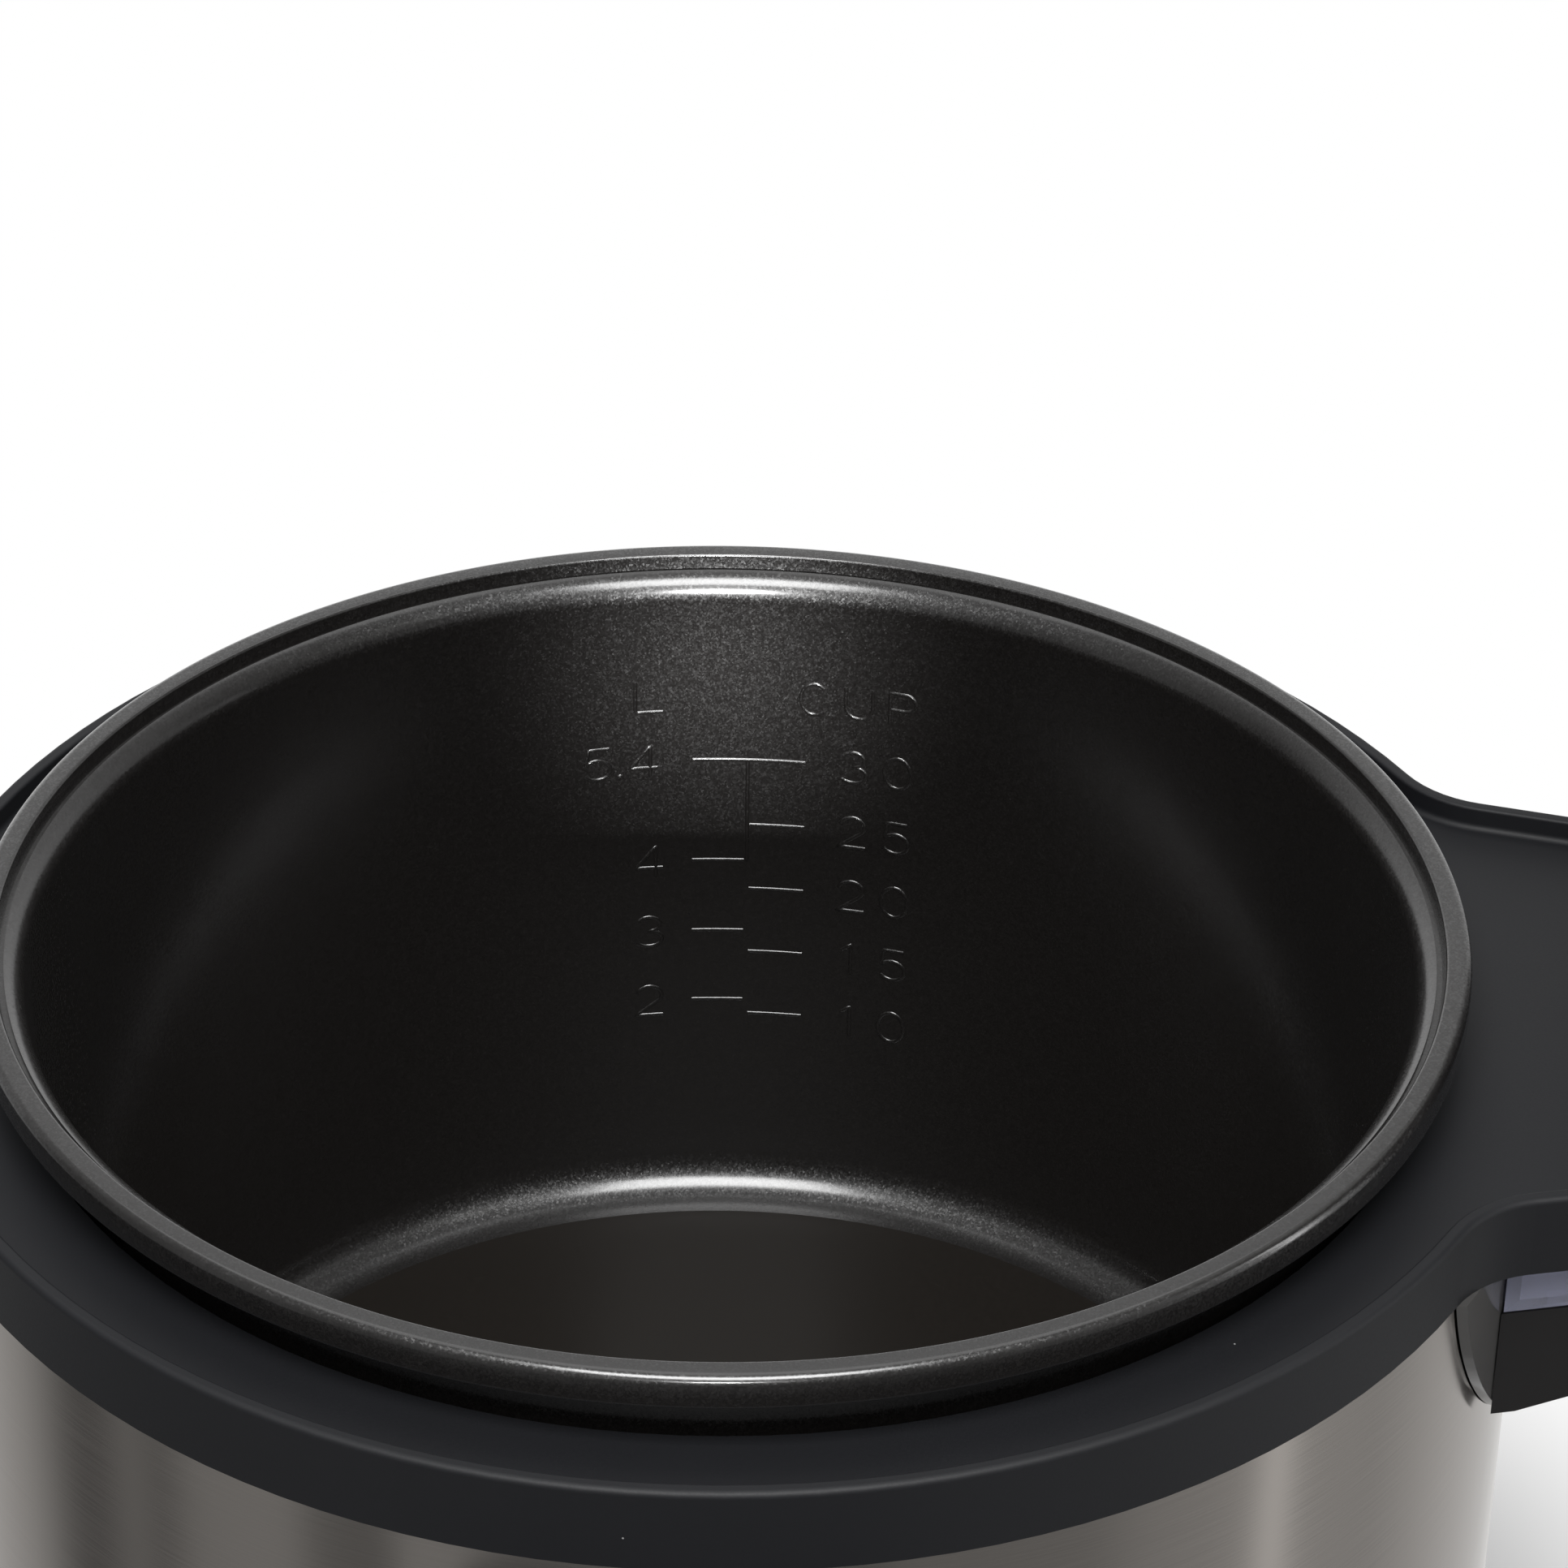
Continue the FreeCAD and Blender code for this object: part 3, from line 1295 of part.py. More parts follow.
def lid_side(inset):
    """Lid seen from its side, drawn down to a round hood over the hinge, as a bar along X."""
    r = HOOD_R - inset
    top = LID_TOP_Z - inset
    shoulder = V(0, LID_SLOPE_START - inset / 2, top)
    axis = V(0, HINGE_Y, HINGE_Z)
    to_axis = axis - shoulder
    lean = math.atan2(to_axis.z, to_axis.y) + math.asin(r / to_axis.Length)
    touch = axis + V(0, -math.sin(lean), math.cos(lean)) * r
    low = V(0, HINGE_Y, HINGE_Z - r)
    outmost = V(0, HINGE_Y + r, HINGE_Z)
    front = -SKIRT_R - LIP_WIDTH
    edges = [
        Part.LineSegment(V(0, front, low.z), low).toShape(),
        Part.Arc(low, outmost, touch).toShape(),
        Part.LineSegment(touch, shoulder).toShape(),
        Part.LineSegment(shoulder, V(0, front, top)).toShape(),
        Part.LineSegment(V(0, front, top), V(0, front, low.z)).toShape(),
    ]
    bar = Part.Face(Part.Wire(edges)).extrude(V(2 * SKIRT_R, 0, 0))
    return bar.translated(V(-SKIRT_R, 0, 0))


def lid_notches():
    """Room for the ring's hinge lugs."""
    r = LUG_R + LUG_ROOM
    notches = []
    near = LUG_IN - TORSION_LEG_ROOM
    far = LUG_OUT + LUG_GAP
    for a, b in ((near, far), (-far, -near)):
        notch = rod(r, V(a, HINGE_Y, HINGE_Z), V(b, HINGE_Y, HINGE_Z))
        notch = notch.fuse(block(a, b, HINGE_Y - r, HINGE_Y + r, LID_Z - LID_GAP, HINGE_Z))
        notches.append(notch)
    return notches


def lid_screw_points():
    """Midway between the wall of the pan and the wall of the lid."""
    pitch_r = (PAN_R + PAN_T + SKIRT_R - LID_WALL) / 2
    return [polar(pitch_r, deg) for deg in LID_SCREW_ANGLES]


def button_block(margin, front, back):
    half_w = BUTTON_WIDTH / 2 + margin
    half_h = BUTTON_HEIGHT / 2 + margin
    return rounded_block(
        -half_w, half_w, front, back, BUTTON_Z - half_h, BUTTON_Z + half_h, BUTTON_ROUND + margin, Y_AXIS
    )


def lid_shell():
    hood_z = HINGE_Z - HOOD_R
    outer = ring_prism(0, hood_z, LID_TOP_Z)
    outer = outer.makeFillet(LID_ROUND, edges_at(outer, LID_TOP_Z)).common(lid_side(0))
    inner = ring_prism(LID_WALL, hood_z - LID_WALL, LID_TOP_Z - LID_WALL)
    inner = inner.makeFillet(LID_ROUND - LID_WALL, edges_at(inner, LID_TOP_Z - LID_WALL))
    room = lid_side(LID_WALL - FIT).fuse(
        block(-SKIRT_R, SKIRT_R, -SKIRT_R, HINGE_Y, hood_z - LID_WALL, HINGE_Z - HOOD_R + LID_WALL)
    )
    shell = outer.cut(inner.common(room))
    for p in lid_screw_points():
        shell = shell.fuse(rod(LID_BOSS_R, p + Z_AXIS * (PAN_Z + PAN_T), p + Z_AXIS * (LID_TOP_Z - LID_WALL)))
    cuts = [
        rod(LID_OPENING_R, V(0, 0, LID_Z), V(0, 0, LID_TOP_Z)),
        button_block(FIT, -SKIRT_R - LID_WALL, -SKIRT_R + 2 * LID_WALL),
        hinge_bore(HINGE_PIN_R + FIT),
    ]
    cuts += lid_notches()
    for p in lid_screw_points():
        end = PAN_Z + PAN_T + LID_SCREW_LENGTH
        cuts.append(rod(LID_SCREW_R + SCREW_CLEAR, p + Z_AXIS * PAN_Z, p + Z_AXIS * end))
    for cut in cuts:
        shell = shell.cut(cut)
    return shell.removeSplitter()


def lid_frame():
    """Inner pan of the lid: rim flange, well over the pot's rim, roof, steam well and hinge barrels."""
    flange_inset = LID_WALL + FIT
    pan = ring_prism(flange_inset, PAN_Z, PAN_Z + PAN_T)
    trim = block(-SKIRT_R, SKIRT_R, HINGE_Y, TONGUE_END, LID_Z - LID_GAP, LID_TOP_Z)
    pan = pan.cut(trim)
    pan = pan.fuse(rod(PAN_R + PAN_T, V(0, 0, PAN_Z), V(0, 0, PAN_ROOF_Z + PAN_T)))
    pan = pan.cut(rod(PAN_R, V(0, 0, PAN_Z), V(0, 0, PAN_ROOF_Z)))
    vent = V(0, VENT_Y, 0)
    pan = pan.fuse(rod(WELL_R + WELL_WALL, vent + Z_AXIS * PAN_ROOF_Z, vent + Z_AXIS * WELL_TOP_Z))
    for x0, x1 in ((-BARREL_END, -LUG_OUT), (-BARREL_MID, BARREL_MID), (LUG_OUT, BARREL_END)):
        pan = pan.fuse(rod(BARREL_R, V(x0, HINGE_Y, HINGE_Z), V(x1, HINGE_Y, HINGE_Z)))
        pan = pan.fuse(block(x0, x1, HINGE_Y - BARREL_R, HINGE_Y, PAN_Z, HINGE_Z))
    cuts = [
        rod(WELL_R, vent + Z_AXIS * (PAN_ROOF_Z + PAN_T), vent + Z_AXIS * WELL_TOP_Z),
        rod(VENT_PIPE_R, vent + Z_AXIS * PAN_Z, vent + Z_AXIS * WELL_TOP_Z),
        hinge_bore(HINGE_PIN_R + PIN_FIT),
        block(
            -HOOK_WIDTH / 2 - FIT,
            HOOK_WIDTH / 2 + FIT,
            -HOOK_R - HOOK_T - HOOK_TOE,
            -PAN_R - PAN_T + FIT,
            PAN_Z,
            PAN_Z + PAN_T,
        ),
    ]
    cuts += lid_notches()
    for p in lid_screw_points():
        hole_r = LID_SCREW_R + SCREW_CLEAR
        cone_r = LID_SCREW_HEAD_R + SCREW_CLEAR
        cuts.append(rod(hole_r, p + Z_AXIS * PAN_Z, p + Z_AXIS * (PAN_Z + PAN_T)))
        cuts.append(Part.makeCone(cone_r, hole_r, LID_SCREW_HEAD_H, p + Z_AXIS * PAN_Z, Z_AXIS))
    for cut in cuts:
        pan = pan.cut(cut)
    return pan.removeSplitter()


def lid_screws():
    screws = []
    for p in lid_screw_points():
        head = Part.makeCone(LID_SCREW_HEAD_R, LID_SCREW_R, LID_SCREW_HEAD_H, p + Z_AXIS * PAN_Z, Z_AXIS)
        stem = rod(LID_SCREW_R, p + Z_AXIS * PAN_Z, p + Z_AXIS * (PAN_Z + PAN_T + LID_SCREW_LENGTH))
        screws.append(head.fuse(stem).removeSplitter())
    return screws


def lid_cover():
    rim = COVER_R - COVER_RIM
    dome_r = (rim**2 + COVER_DOME**2) / (2 * COVER_DOME)
    centre = (0, LID_TOP_Z + COVER_T + COVER_DOME - dome_r)
    rim_deg = math.degrees(math.asin((LID_TOP_Z + COVER_T - centre[1]) / dome_r))
    under_r = dome_r - COVER_T
    under_deg = math.degrees(math.asin((LID_TOP_Z - centre[1]) / under_r))
    cover = turned(
        (0, centre[1] + under_r),
        bend(centre, under_r, 90, under_deg),
        (COVER_R, LID_TOP_Z),
        (COVER_R, LID_TOP_Z + COVER_T),
        (dome_r * math.cos(math.radians(rim_deg)), LID_TOP_Z + COVER_T),
        bend(centre, dome_r, rim_deg, 90),
    )
    vent = V(0, VENT_Y, 0)
    return cover.cut(rod(WELL_R + WELL_WALL + FIT, vent, vent + Z_AXIS * 2 * RIM_Z))


def lid_stud():
    top = PAN_ROOF_Z
    stud = rod(STUD_R, V(0, 0, top - STUD_LENGTH), V(0, 0, top))
    return stud.fuse(rod(STUD_FLANGE_R, V(0, 0, top - STUD_FLANGE_T), V(0, 0, top))).removeSplitter()


def vent_cap():
    roof = WELL_TOP_Z + VENT_CAP_T
    skirt_r = WELL_R - FIT
    low = WELL_TOP_Z - VENT_CAP_SKIRT
    cap = turned(
        (0, WELL_TOP_Z),
        (skirt_r - VENT_CAP_WALL, WELL_TOP_Z),
        (skirt_r - VENT_CAP_WALL, low),
        (skirt_r, low),
        (skirt_r, WELL_TOP_Z),
        (VENT_CAP_R, WELL_TOP_Z),
        (VENT_CAP_R, roof - VENT_CAP_ROUND),
        bend((VENT_CAP_R - VENT_CAP_ROUND, roof - VENT_CAP_ROUND), VENT_CAP_ROUND, 0, 90),
        (0, roof),
    )
    for i in range(VENT_CAP_PORTS):
        p = polar(VENT_PORT_PITCH_R, 360.0 * i / VENT_CAP_PORTS)
        cap = cap.cut(rod(VENT_PORT_R, p + Z_AXIS * WELL_TOP_Z, p + Z_AXIS * roof))
    return cap.translated(V(0, VENT_Y, 0))


# Inner lid


def gasket_in_r():
    return INNER_R - GASKET_IN


def inner_plate_z():
    """Underside of the inner lid at its rim."""
    return RIM_Z + FIT + PAN_ROOF_RISE / 2


def inner_lid_plate():
    z = inner_plate_z()
    low = z - INNER_DISH
    shape = turned(
        (INNER_CENTRE_R, low),
        (INNER_DISH_R - INNER_DISH, low),
        (INNER_DISH_R, z),
        (INNER_R, z),
        (INNER_R, z + INNER_T),
        (INNER_DISH_R - INNER_T / 2, z + INNER_T),
        (INNER_DISH_R - INNER_DISH - INNER_T / 2, low + INNER_T),
        (INNER_CENTRE_R, low + INNER_T),
    )
    for i in range(INNER_HOLES):
        p = polar(INNER_HOLE_PITCH_R, 360.0 * i / INNER_HOLES) + V(0, VENT_Y, 0)
        shape = shape.cut(rod(INNER_HOLE_R, p, p + Z_AXIS * 2 * RIM_Z))
    return shape


def lid_gasket():
    z = inner_plate_z()
    outer = PAN_R - GASKET_CLEAR
    inner = gasket_in_r()
    slot_r = INNER_R + GASKET_GROOVE_FIT
    slot_low = z - GASKET_GROOVE_FIT
    slot_high = z + INNER_T + GASKET_GROOVE_FIT
    base = RIM_Z + FIT
    top = PAN_ROOF_Z
    lip = (outer - inner) / 4
    return turned(
        (inner, base + lip / 2),
        (inner + lip, base),
        (outer - lip, base),
        (outer, base + lip / 2),
        (outer, top),
        (inner, top),
        (inner, slot_high),
        (slot_r, slot_high),
        (slot_r, slot_low),
        (inner, slot_low),
    )


def lid_grommet():
    low = inner_plate_z() - INNER_DISH
    bore = STUD_R + FIT
    groove_r = INNER_CENTRE_R - GASKET_GROOVE_FIT
    top = PAN_ROOF_Z - STUD_FLANGE_T - FIT
    base = top - GROMMET_H
    return turned(
        (bore, base),
        (GROMMET_R, base),
        (GROMMET_R, low - GASKET_GROOVE_FIT),
        (groove_r, low - GASKET_GROOVE_FIT),
        (groove_r, low + INNER_T + GASKET_GROOVE_FIT),
        (GROMMET_R, low + INNER_T + GASKET_GROOVE_FIT),
        (GROMMET_R, top),
        (bore, top),
    )


# Lid latch


def button_back():
    """Inner face of the button's flange, clear of the curved wall of the lid."""
    half = BUTTON_WIDTH / 2 + BUTTON_FLANGE
    wall = math.sqrt((SKIRT_R - LID_WALL) ** 2 - half**2)
    return -wall + FIT + BUTTON_FLANGE_T


def latch_button():
    back = button_back()
    face = button_block(0, -SKIRT_R - BUTTON_PROUD, back)
    flange = button_block(BUTTON_FLANGE, back - BUTTON_FLANGE_T, back)
    half = HOOK_WIDTH / 2
    toe_top = strike_top() - STRIKE_T - HOOK_CLEAR
    toe_low = toe_top - HOOK_TOE_T
    leg_out = -HOOK_R - HOOK_T / 2
    leg_in = -HOOK_R + HOOK_T / 2
    leg = block(-half, half, leg_out, leg_in, toe_low, BUTTON_Z)
    bridge = block(-half, half, back - BUTTON_FLANGE_T, leg_in, BUTTON_Z - BUTTON_FLANGE_T, BUTTON_Z)
    toe = block(-half, half, leg_out - HOOK_TOE, leg_in, toe_low, toe_top)
    return face.multiFuse([flange, leg, bridge, toe]).removeSplitter()


def strike_top():
    return TRAY_Z + STRIKE_RISE


def latch_strike():
    half = STRIKE_WIDTH / 2
    wall = math.sqrt((SKIRT_R - LIP_WIDTH) ** 2 - half**2) - FIT
    top = strike_top()
    edge = -HOOK_R - HOOK_T / 2 - HOOK_TOE + STRIKE_REACH
    upright = block(-half, half, -wall, -wall + STRIKE_T, TRAY_Z + TRAY_ROUND, top)
    return upright.fuse(block(-half, half, -wall, edge, top - STRIKE_T, top)).removeSplitter()


def latch_springs():
    start = button_back() + LATCH_WIRE_R
    end = -math.sqrt((PAN_R + PAN_T) ** 2 - LATCH_SPRING_X**2) - 2 * LATCH_WIRE_R
    pitch = (end - start) / LATCH_TURNS
    spring_gap("latch_springs", pitch, LATCH_WIRE_R)
    turn = FreeCAD.Rotation(Z_AXIS, Y_AXIS)
    z = PAN_ROOF_Z - LATCH_COIL_R
    springs = []
    for x in (-LATCH_SPRING_X, LATCH_SPRING_X):
        place = FreeCAD.Placement(V(x, start, z), turn)
        springs.append(coil(LATCH_COIL_R, LATCH_TURNS, pitch, LATCH_WIRE_R, place))
    return springs


def main():
    os.makedirs("parts", exist_ok=True)
    save("inner_pot", inner_pot())
    save("top_ring", top_ring())
    save("hinge_pin", hinge_pin())
    save("hinge_springs", *hinge_springs())
    save("outer_shell", outer_shell())
    save("base_ring", base_ring())
    save("bottom_plate", bottom_plate())
    save("feet", *feet())
    save("base_screws", *base_screws())
    save("inner_liner", inner_liner())
    save("tie_posts", *tie_posts())
    save("heating_plate", heating_plate())
    save("heating_element", heating_element())
    save("element_insulators", *element_insulators())
    save("element_terminals", *element_terminals())
    save("plate_posts", *plate_posts())
    save("warm_band", warm_band())
    save("thermal_fuse", thermal_fuse())
    save("sensor_sleeve", sensor_sleeve())
    save("sensor_cap", sensor_cap())
    save("ferrite_disc", ferrite_disc())
    save("sensor_spring", sensor_spring())
    save("magnet_unit", magnet_unit())
    save("switch_frame", switch_frame())
    save("lever_pin", lever_pin())
    save("cook_lever", cook_lever())
    save("lever_knob", lever_knob())
    save("micro_switch", micro_switch())
    save("control_panel", control_panel())
    for name in lens_points():
        save(name, lamp_lens(name))
    save("power_inlet", power_inlet())
    save("inlet_pins", *inlet_pins())
    save("terminal_block", terminal_block())
    save("rear_plinth", rear_plinth())
    save("collector_bin", collector_bin())
    save("collector_cup", collector_cup())
    right = side_handle()
    save("side_handle_right", right)
    save("side_handle_left", mirrored(right))
    save("handle_screws", *handle_screws())
    save("latch_strike", latch_strike())
    lid_pieces = {
        "lid_shell": lid_shell(),
        "lid_frame": lid_frame(),
        "lid_cover": lid_cover(),
        "lid_stud": lid_stud(),
        "vent_cap": vent_cap(),
        "inner_lid_plate": inner_lid_plate(),
        "lid_gasket": lid_gasket(),
        "lid_grommet": lid_grommet(),
        "latch_button": latch_button(),
    }
    for name, shape in lid_pieces.items():
        save(name, opened(shape))
    save("lid_screws", *[opened(screw) for screw in lid_screws()])
    save("latch_springs", *[opened(spring) for spring in latch_springs()])


main()
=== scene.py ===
import math

import bpy
from mathutils import Matrix, Quaternion, Vector


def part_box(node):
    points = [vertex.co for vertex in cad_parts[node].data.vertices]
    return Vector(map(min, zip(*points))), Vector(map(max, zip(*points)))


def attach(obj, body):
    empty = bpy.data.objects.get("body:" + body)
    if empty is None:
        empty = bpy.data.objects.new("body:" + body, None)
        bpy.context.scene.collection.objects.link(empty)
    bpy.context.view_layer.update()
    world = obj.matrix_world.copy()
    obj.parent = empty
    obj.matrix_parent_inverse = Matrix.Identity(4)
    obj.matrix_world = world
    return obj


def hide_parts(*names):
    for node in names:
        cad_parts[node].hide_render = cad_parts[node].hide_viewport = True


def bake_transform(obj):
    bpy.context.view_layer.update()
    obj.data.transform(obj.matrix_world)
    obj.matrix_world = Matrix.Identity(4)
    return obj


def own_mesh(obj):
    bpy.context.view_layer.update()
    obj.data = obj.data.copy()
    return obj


bl_info = {
    "name": "Rice cooker looks",
    "version": (1, 0, 0),
    "blender": (4, 5, 0),
    "location": "View3D > Sidebar > Cooker",
    "description": "Finishes, measuring marks and studio for the packed rice cooker",
    "category": "Object",
}

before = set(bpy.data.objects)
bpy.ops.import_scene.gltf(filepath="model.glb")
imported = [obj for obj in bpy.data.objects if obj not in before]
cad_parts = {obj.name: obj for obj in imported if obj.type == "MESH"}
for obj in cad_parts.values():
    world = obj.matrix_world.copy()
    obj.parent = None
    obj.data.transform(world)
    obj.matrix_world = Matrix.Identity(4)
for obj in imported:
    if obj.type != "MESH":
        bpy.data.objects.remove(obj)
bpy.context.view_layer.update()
MM = 0.001

# Places that the frame gives, and the two sizes of the pot that its box doesn't show
RIM_WIDTH = 12 * MM
POT_WALL = 2.2 * MM
POT_LOW, POT_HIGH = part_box("inner_pot")
RIM_Z = POT_HIGH.z
RIM_R = POT_HIGH.x
WALL_R = RIM_R - RIM_WIDTH
POT_FLOOR_Z = POT_LOW.z + POT_WALL
# The photograph looks at the cooker's side from this much towards the hinge, and the pot is turned with it.
VIEW_TURN = math.radians(2.72)
PANEL_R = -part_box("control_panel")[0].y
LENS_Z = sum(corner.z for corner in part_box("cook_lens")) / 2
LENS_X = sum(corner.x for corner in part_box("warm_lens")) / 2
BIN_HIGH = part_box("collector_bin")[1]
LID_CENTRE = sum(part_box("lid_cover"), Vector()) / 2


def to_linear(text):
    """sRGB hex colour as linear red, green and blue."""
    channels = [int(text[i:i + 2], 16) / 255 for i in (1, 3, 5)]
    return tuple(c / 12.92 if c <= 0.04045 else ((c + 0.055) / 1.055) ** 2.4 for c in channels)


def opaque(colour):
    """A colour with full alpha."""
    return (*colour, 1.0)


# Settings that a user would change


def colour_setting(name, description, text):
    return bpy.props.FloatVectorProperty(
        name=name, description=description, default=to_linear(text), subtype="COLOR", min=0, max=1
    )


def length_setting(name, description, millimetres):
    return bpy.props.FloatProperty(
        name=name, description=description, default=millimetres * MM, unit="LENGTH", precision=5
    )


def share_setting(name, description, default):
    return bpy.props.FloatProperty(
        name=name, description=description, default=default, subtype="FACTOR", min=0, max=1
    )


def power_setting(name, description, watts):
    return bpy.props.FloatProperty(name=name, description=description, default=watts, unit="POWER")


class COOKER_PG_coating(bpy.types.PropertyGroup):
    """Non-stick coating of the pot"""

    colour: colour_setting("Coating", "Body colour of the non-stick coating", "#131110")
    floor_colour: colour_setting("Floor", "Colour of the duller coating on the pot's floor", "#1d1a17")
    flake_size: length_setting("Flake size", "Distance between neighbouring flakes", 0.42)
    flake_lean: share_setting("Flake lean", "How far the flakes lean from the wall", 0.3)
    roughness: share_setting("Roughness", "Softness of the gloss under the clear skin", 0.42)


class COOKER_PG_plastics(bpy.types.PropertyGroup):
    """Moulded plastics"""

    ring: colour_setting("Ring", "Satin plastic of the ring, the lid, the base and the handles", "#101115")
    pan: colour_setting("Lid pan", "Satin plastic of the lid's inner pan", "#3c3c40")
    gloss: colour_setting("Gloss", "Glossy plastic of the panel and the collector", "#1a1919")
    plinth: colour_setting("Plinth", "Glossy plastic of the plinth that carries the collector", "#4a4948")
    control: colour_setting("Controls", "Plastic of the lever knob and the lid button", "#a3a3a6")
    clear: colour_setting("Clear", "Tint of the collector's clear cup", "#c6c8de")
    dust: share_setting("Dust", "Share of the satin plastic's cells that hold a dust speck", 0.03)


class COOKER_PG_metals(bpy.types.PropertyGroup):
    """Sheet, cast and plated metals"""

    shell: colour_setting("Shell", "Brushed stainless steel of the body and the lid's cover", "#bdb7b1")
    sheet: colour_setting("Sheet", "Rolled steel of the liner and the brackets", "#b4b3b0")
    plated: colour_setting("Plated", "Zinc-plated steel of pins, springs and screws", "#c9cacb")
    cast: colour_setting("Cast", "Cast aluminium of the heating plate", "#b0b0ae")
    pressed: colour_setting("Pressed", "Pressed aluminium of the inner lid and the sensor cap", "#cfcfcd")
    brush_width: length_setting("Brush line", "Width of one brushed line as it is drawn", 0.35)


class COOKER_PG_marks(bpy.types.PropertyGroup):
    """Embossed measuring marks in the pot"""

    stroke: length_setting("Stroke", "Width of an embossed line", 1.1)
    relief: length_setting("Relief", "Height of an embossed line above the wall", 0.28)
    height: length_setting("Digit height", "Height of a digit", 9.0)
    width: length_setting("Digit width", "Width of a digit", 7.0)
    pitch: length_setting("Digit pitch", "Distance from one digit to the next", 11.5)
    per_litre: length_setting("Rise per litre", "Height of wall that one litre of rice takes", 21.75)
    full_drop: length_setting("Top mark", "Depth of the top mark below the rim", 56.6)
    word_drop: length_setting("Words", "Depth of the words' foot below the rim", 42.0)


class COOKER_PG_stage(bpy.types.PropertyGroup):
    """Floor, lights and camera"""

    floor: colour_setting("Floor", "Pale floor round the cooker", "#e4e4e4")
    key: power_setting("Key", "Overhead softbox", 34)
    fill: power_setting("Fill", "Snooted lamp at the front", 580)
    top: power_setting("Top", "Softbox over the back", 6)
    strip: power_setting("Strip", "Narrow light at the hinge side", 3)
    room: share_setting("Room", "Brightness of the room, as metal and gloss show it", 1.0)
    ambient: share_setting("Ambient", "Light of the room on matt surfaces", 0.25)
    lens: bpy.props.FloatProperty(
        name="Lens", description="Focal length of the camera", default=116.56, unit="CAMERA"
    )


SETTINGS = {
    "cooker_coating": COOKER_PG_coating,
    "cooker_plastics": COOKER_PG_plastics,
    "cooker_metals": COOKER_PG_metals,
    "cooker_marks": COOKER_PG_marks,
    "cooker_stage": COOKER_PG_stage,
}


# Node and object helpers


def add_node(tree, kind, inputs=None, **settings):
    """Adds one node, sets its options and fills its inputs from sockets or values."""
    made = tree.nodes.new("ShaderNode" + kind)
    for name, value in settings.items():
        setattr(made, name, value)
    for key, value in (inputs or {}).items():
        if isinstance(value, bpy.types.NodeSocket):
            tree.links.new(value, made.inputs[key])
        else:
            made.inputs[key].default_value = value
    return made


def noise(tree, place, size, detail):
    """Noise whose lumps are about as large as the size."""
    made = add_node(tree, "TexNoise", {"Vector": place, "Scale": 1 / size, "Detail": detail})
    return made.outputs["Fac"]


def spread(tree, value, low, high):
    """A value from 0 to 1, spread from low to high."""
    return add_node(tree, "MapRange", {"Value": value, "To Min": low, "To Max": high}).outputs[0]


def eased(tree, value, low, high):
    """0 below low and 1 above high, with a smooth step between them."""
    span = {"Value": value, "From Min": low, "From Max": high}
    return add_node(tree, "MapRange", span, interpolation_type="SMOOTHSTEP").outputs[0]


def shaded(tree, colour, value, low, high):
    """A colour that a value makes darker or lighter, between two shares of itself."""
    share = spread(tree, value, low, high)
    return add_node(tree, "VectorMath", {0: colour, "Scale": share}, operation="SCALE").outputs[0]


def bumped(tree, height, strength, distance):
    """Normal of a surface with a fine relief."""
    made = add_node(tree, "Bump", {"Height": height, "Strength": strength, "Distance": distance})
    return made.outputs[0]


def mixed(tree, share, low, high):
    """A number between two others, by its share of the second."""
    made = add_node(tree, "Mix", {"Factor": share, "A": low, "B": high}, data_type="FLOAT")
    return made.outputs["Result"]


def finish_shader(tree, inputs):
    """Ends a material in one principled shader."""
    shader = add_node(tree, "BsdfPrincipled", inputs)
    add_node(tree, "OutputMaterial", {"Surface": shader.outputs[0]})


def new_material(name):
    """Empty material and its node tree."""
    made = bpy.data.materials.new(name)
    made.use_nodes = True
    made.node_tree.nodes.clear()
    return made, made.node_tree


def dress(material, slot, *names):
    """Gives CAD nodes a material. The slot that it stands for is not used."""
    for name in names:
        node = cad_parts[name]
        node.material_slots[0].material = material


def link_object(name, data):
    """Object with the data, in the scene's own collection."""
    made = bpy.data.objects.new(name, data)
    bpy.context.scene.collection.objects.link(made)
    return made


def smooth_mesh(name, points, faces):
    """Mesh that is shaded smooth, with its sharp corners kept."""
    mesh = bpy.data.meshes.new(name)
    mesh.from_pydata(points, [], faces)
    mesh.shade_smooth()
    mesh.set_sharp_from_angle(angle=math.radians(30))
    return mesh


# Finishes


def nonstick_coating(name, colour, looks, lean, clear, ior):
    """Sprayed non-stick coating: near black, with flakes that glint under a clear skin."""
    made, tree = new_material(name)
    place = add_node(tree, "TexCoord").outputs["Object"]
    normal = add_node(tree, "NewGeometry").outputs["Normal"]
    flakes = add_node(tree, "TexVoronoi", {"Vector": place, "Scale": 1 / looks.flake_size})
    middle = (0.5, 0.5, 0.5)
    turn = add_node(tree, "VectorMath", {0: flakes.outputs["Color"], 1: middle}, operation="SUBTRACT")
    slant = add_node(tree, "VectorMath", {0: turn.outputs[0], "Scale": lean}, operation="SCALE")
    tilted = add_node(tree, "VectorMath", {0: normal, 1: slant.outputs[0]}, operation="ADD")
    facet = add_node(tree, "VectorMath", {0: tilted.outputs[0]}, operation="NORMALIZE")
    peel = noise(tree, place, size=1.6 * MM, detail=2.0)
    finish_shader(
        tree,
        {
            "Base Color": shaded(tree, colour, peel, 0.85, 1.15),
            "Roughness": spread(tree, peel, looks.roughness - 0.06, looks.roughness + 0.06),
            "IOR": ior,
            "Normal": facet.outputs[0],
            "Coat Weight": clear,
            "Coat Roughness": 0.2,
            "Coat IOR": 1.65,
            # The clear skin lies smooth over the flakes.
            "Coat Normal": bumped(tree, peel, strength=0.25, distance=0.02 * MM),
        },
    )
    return made


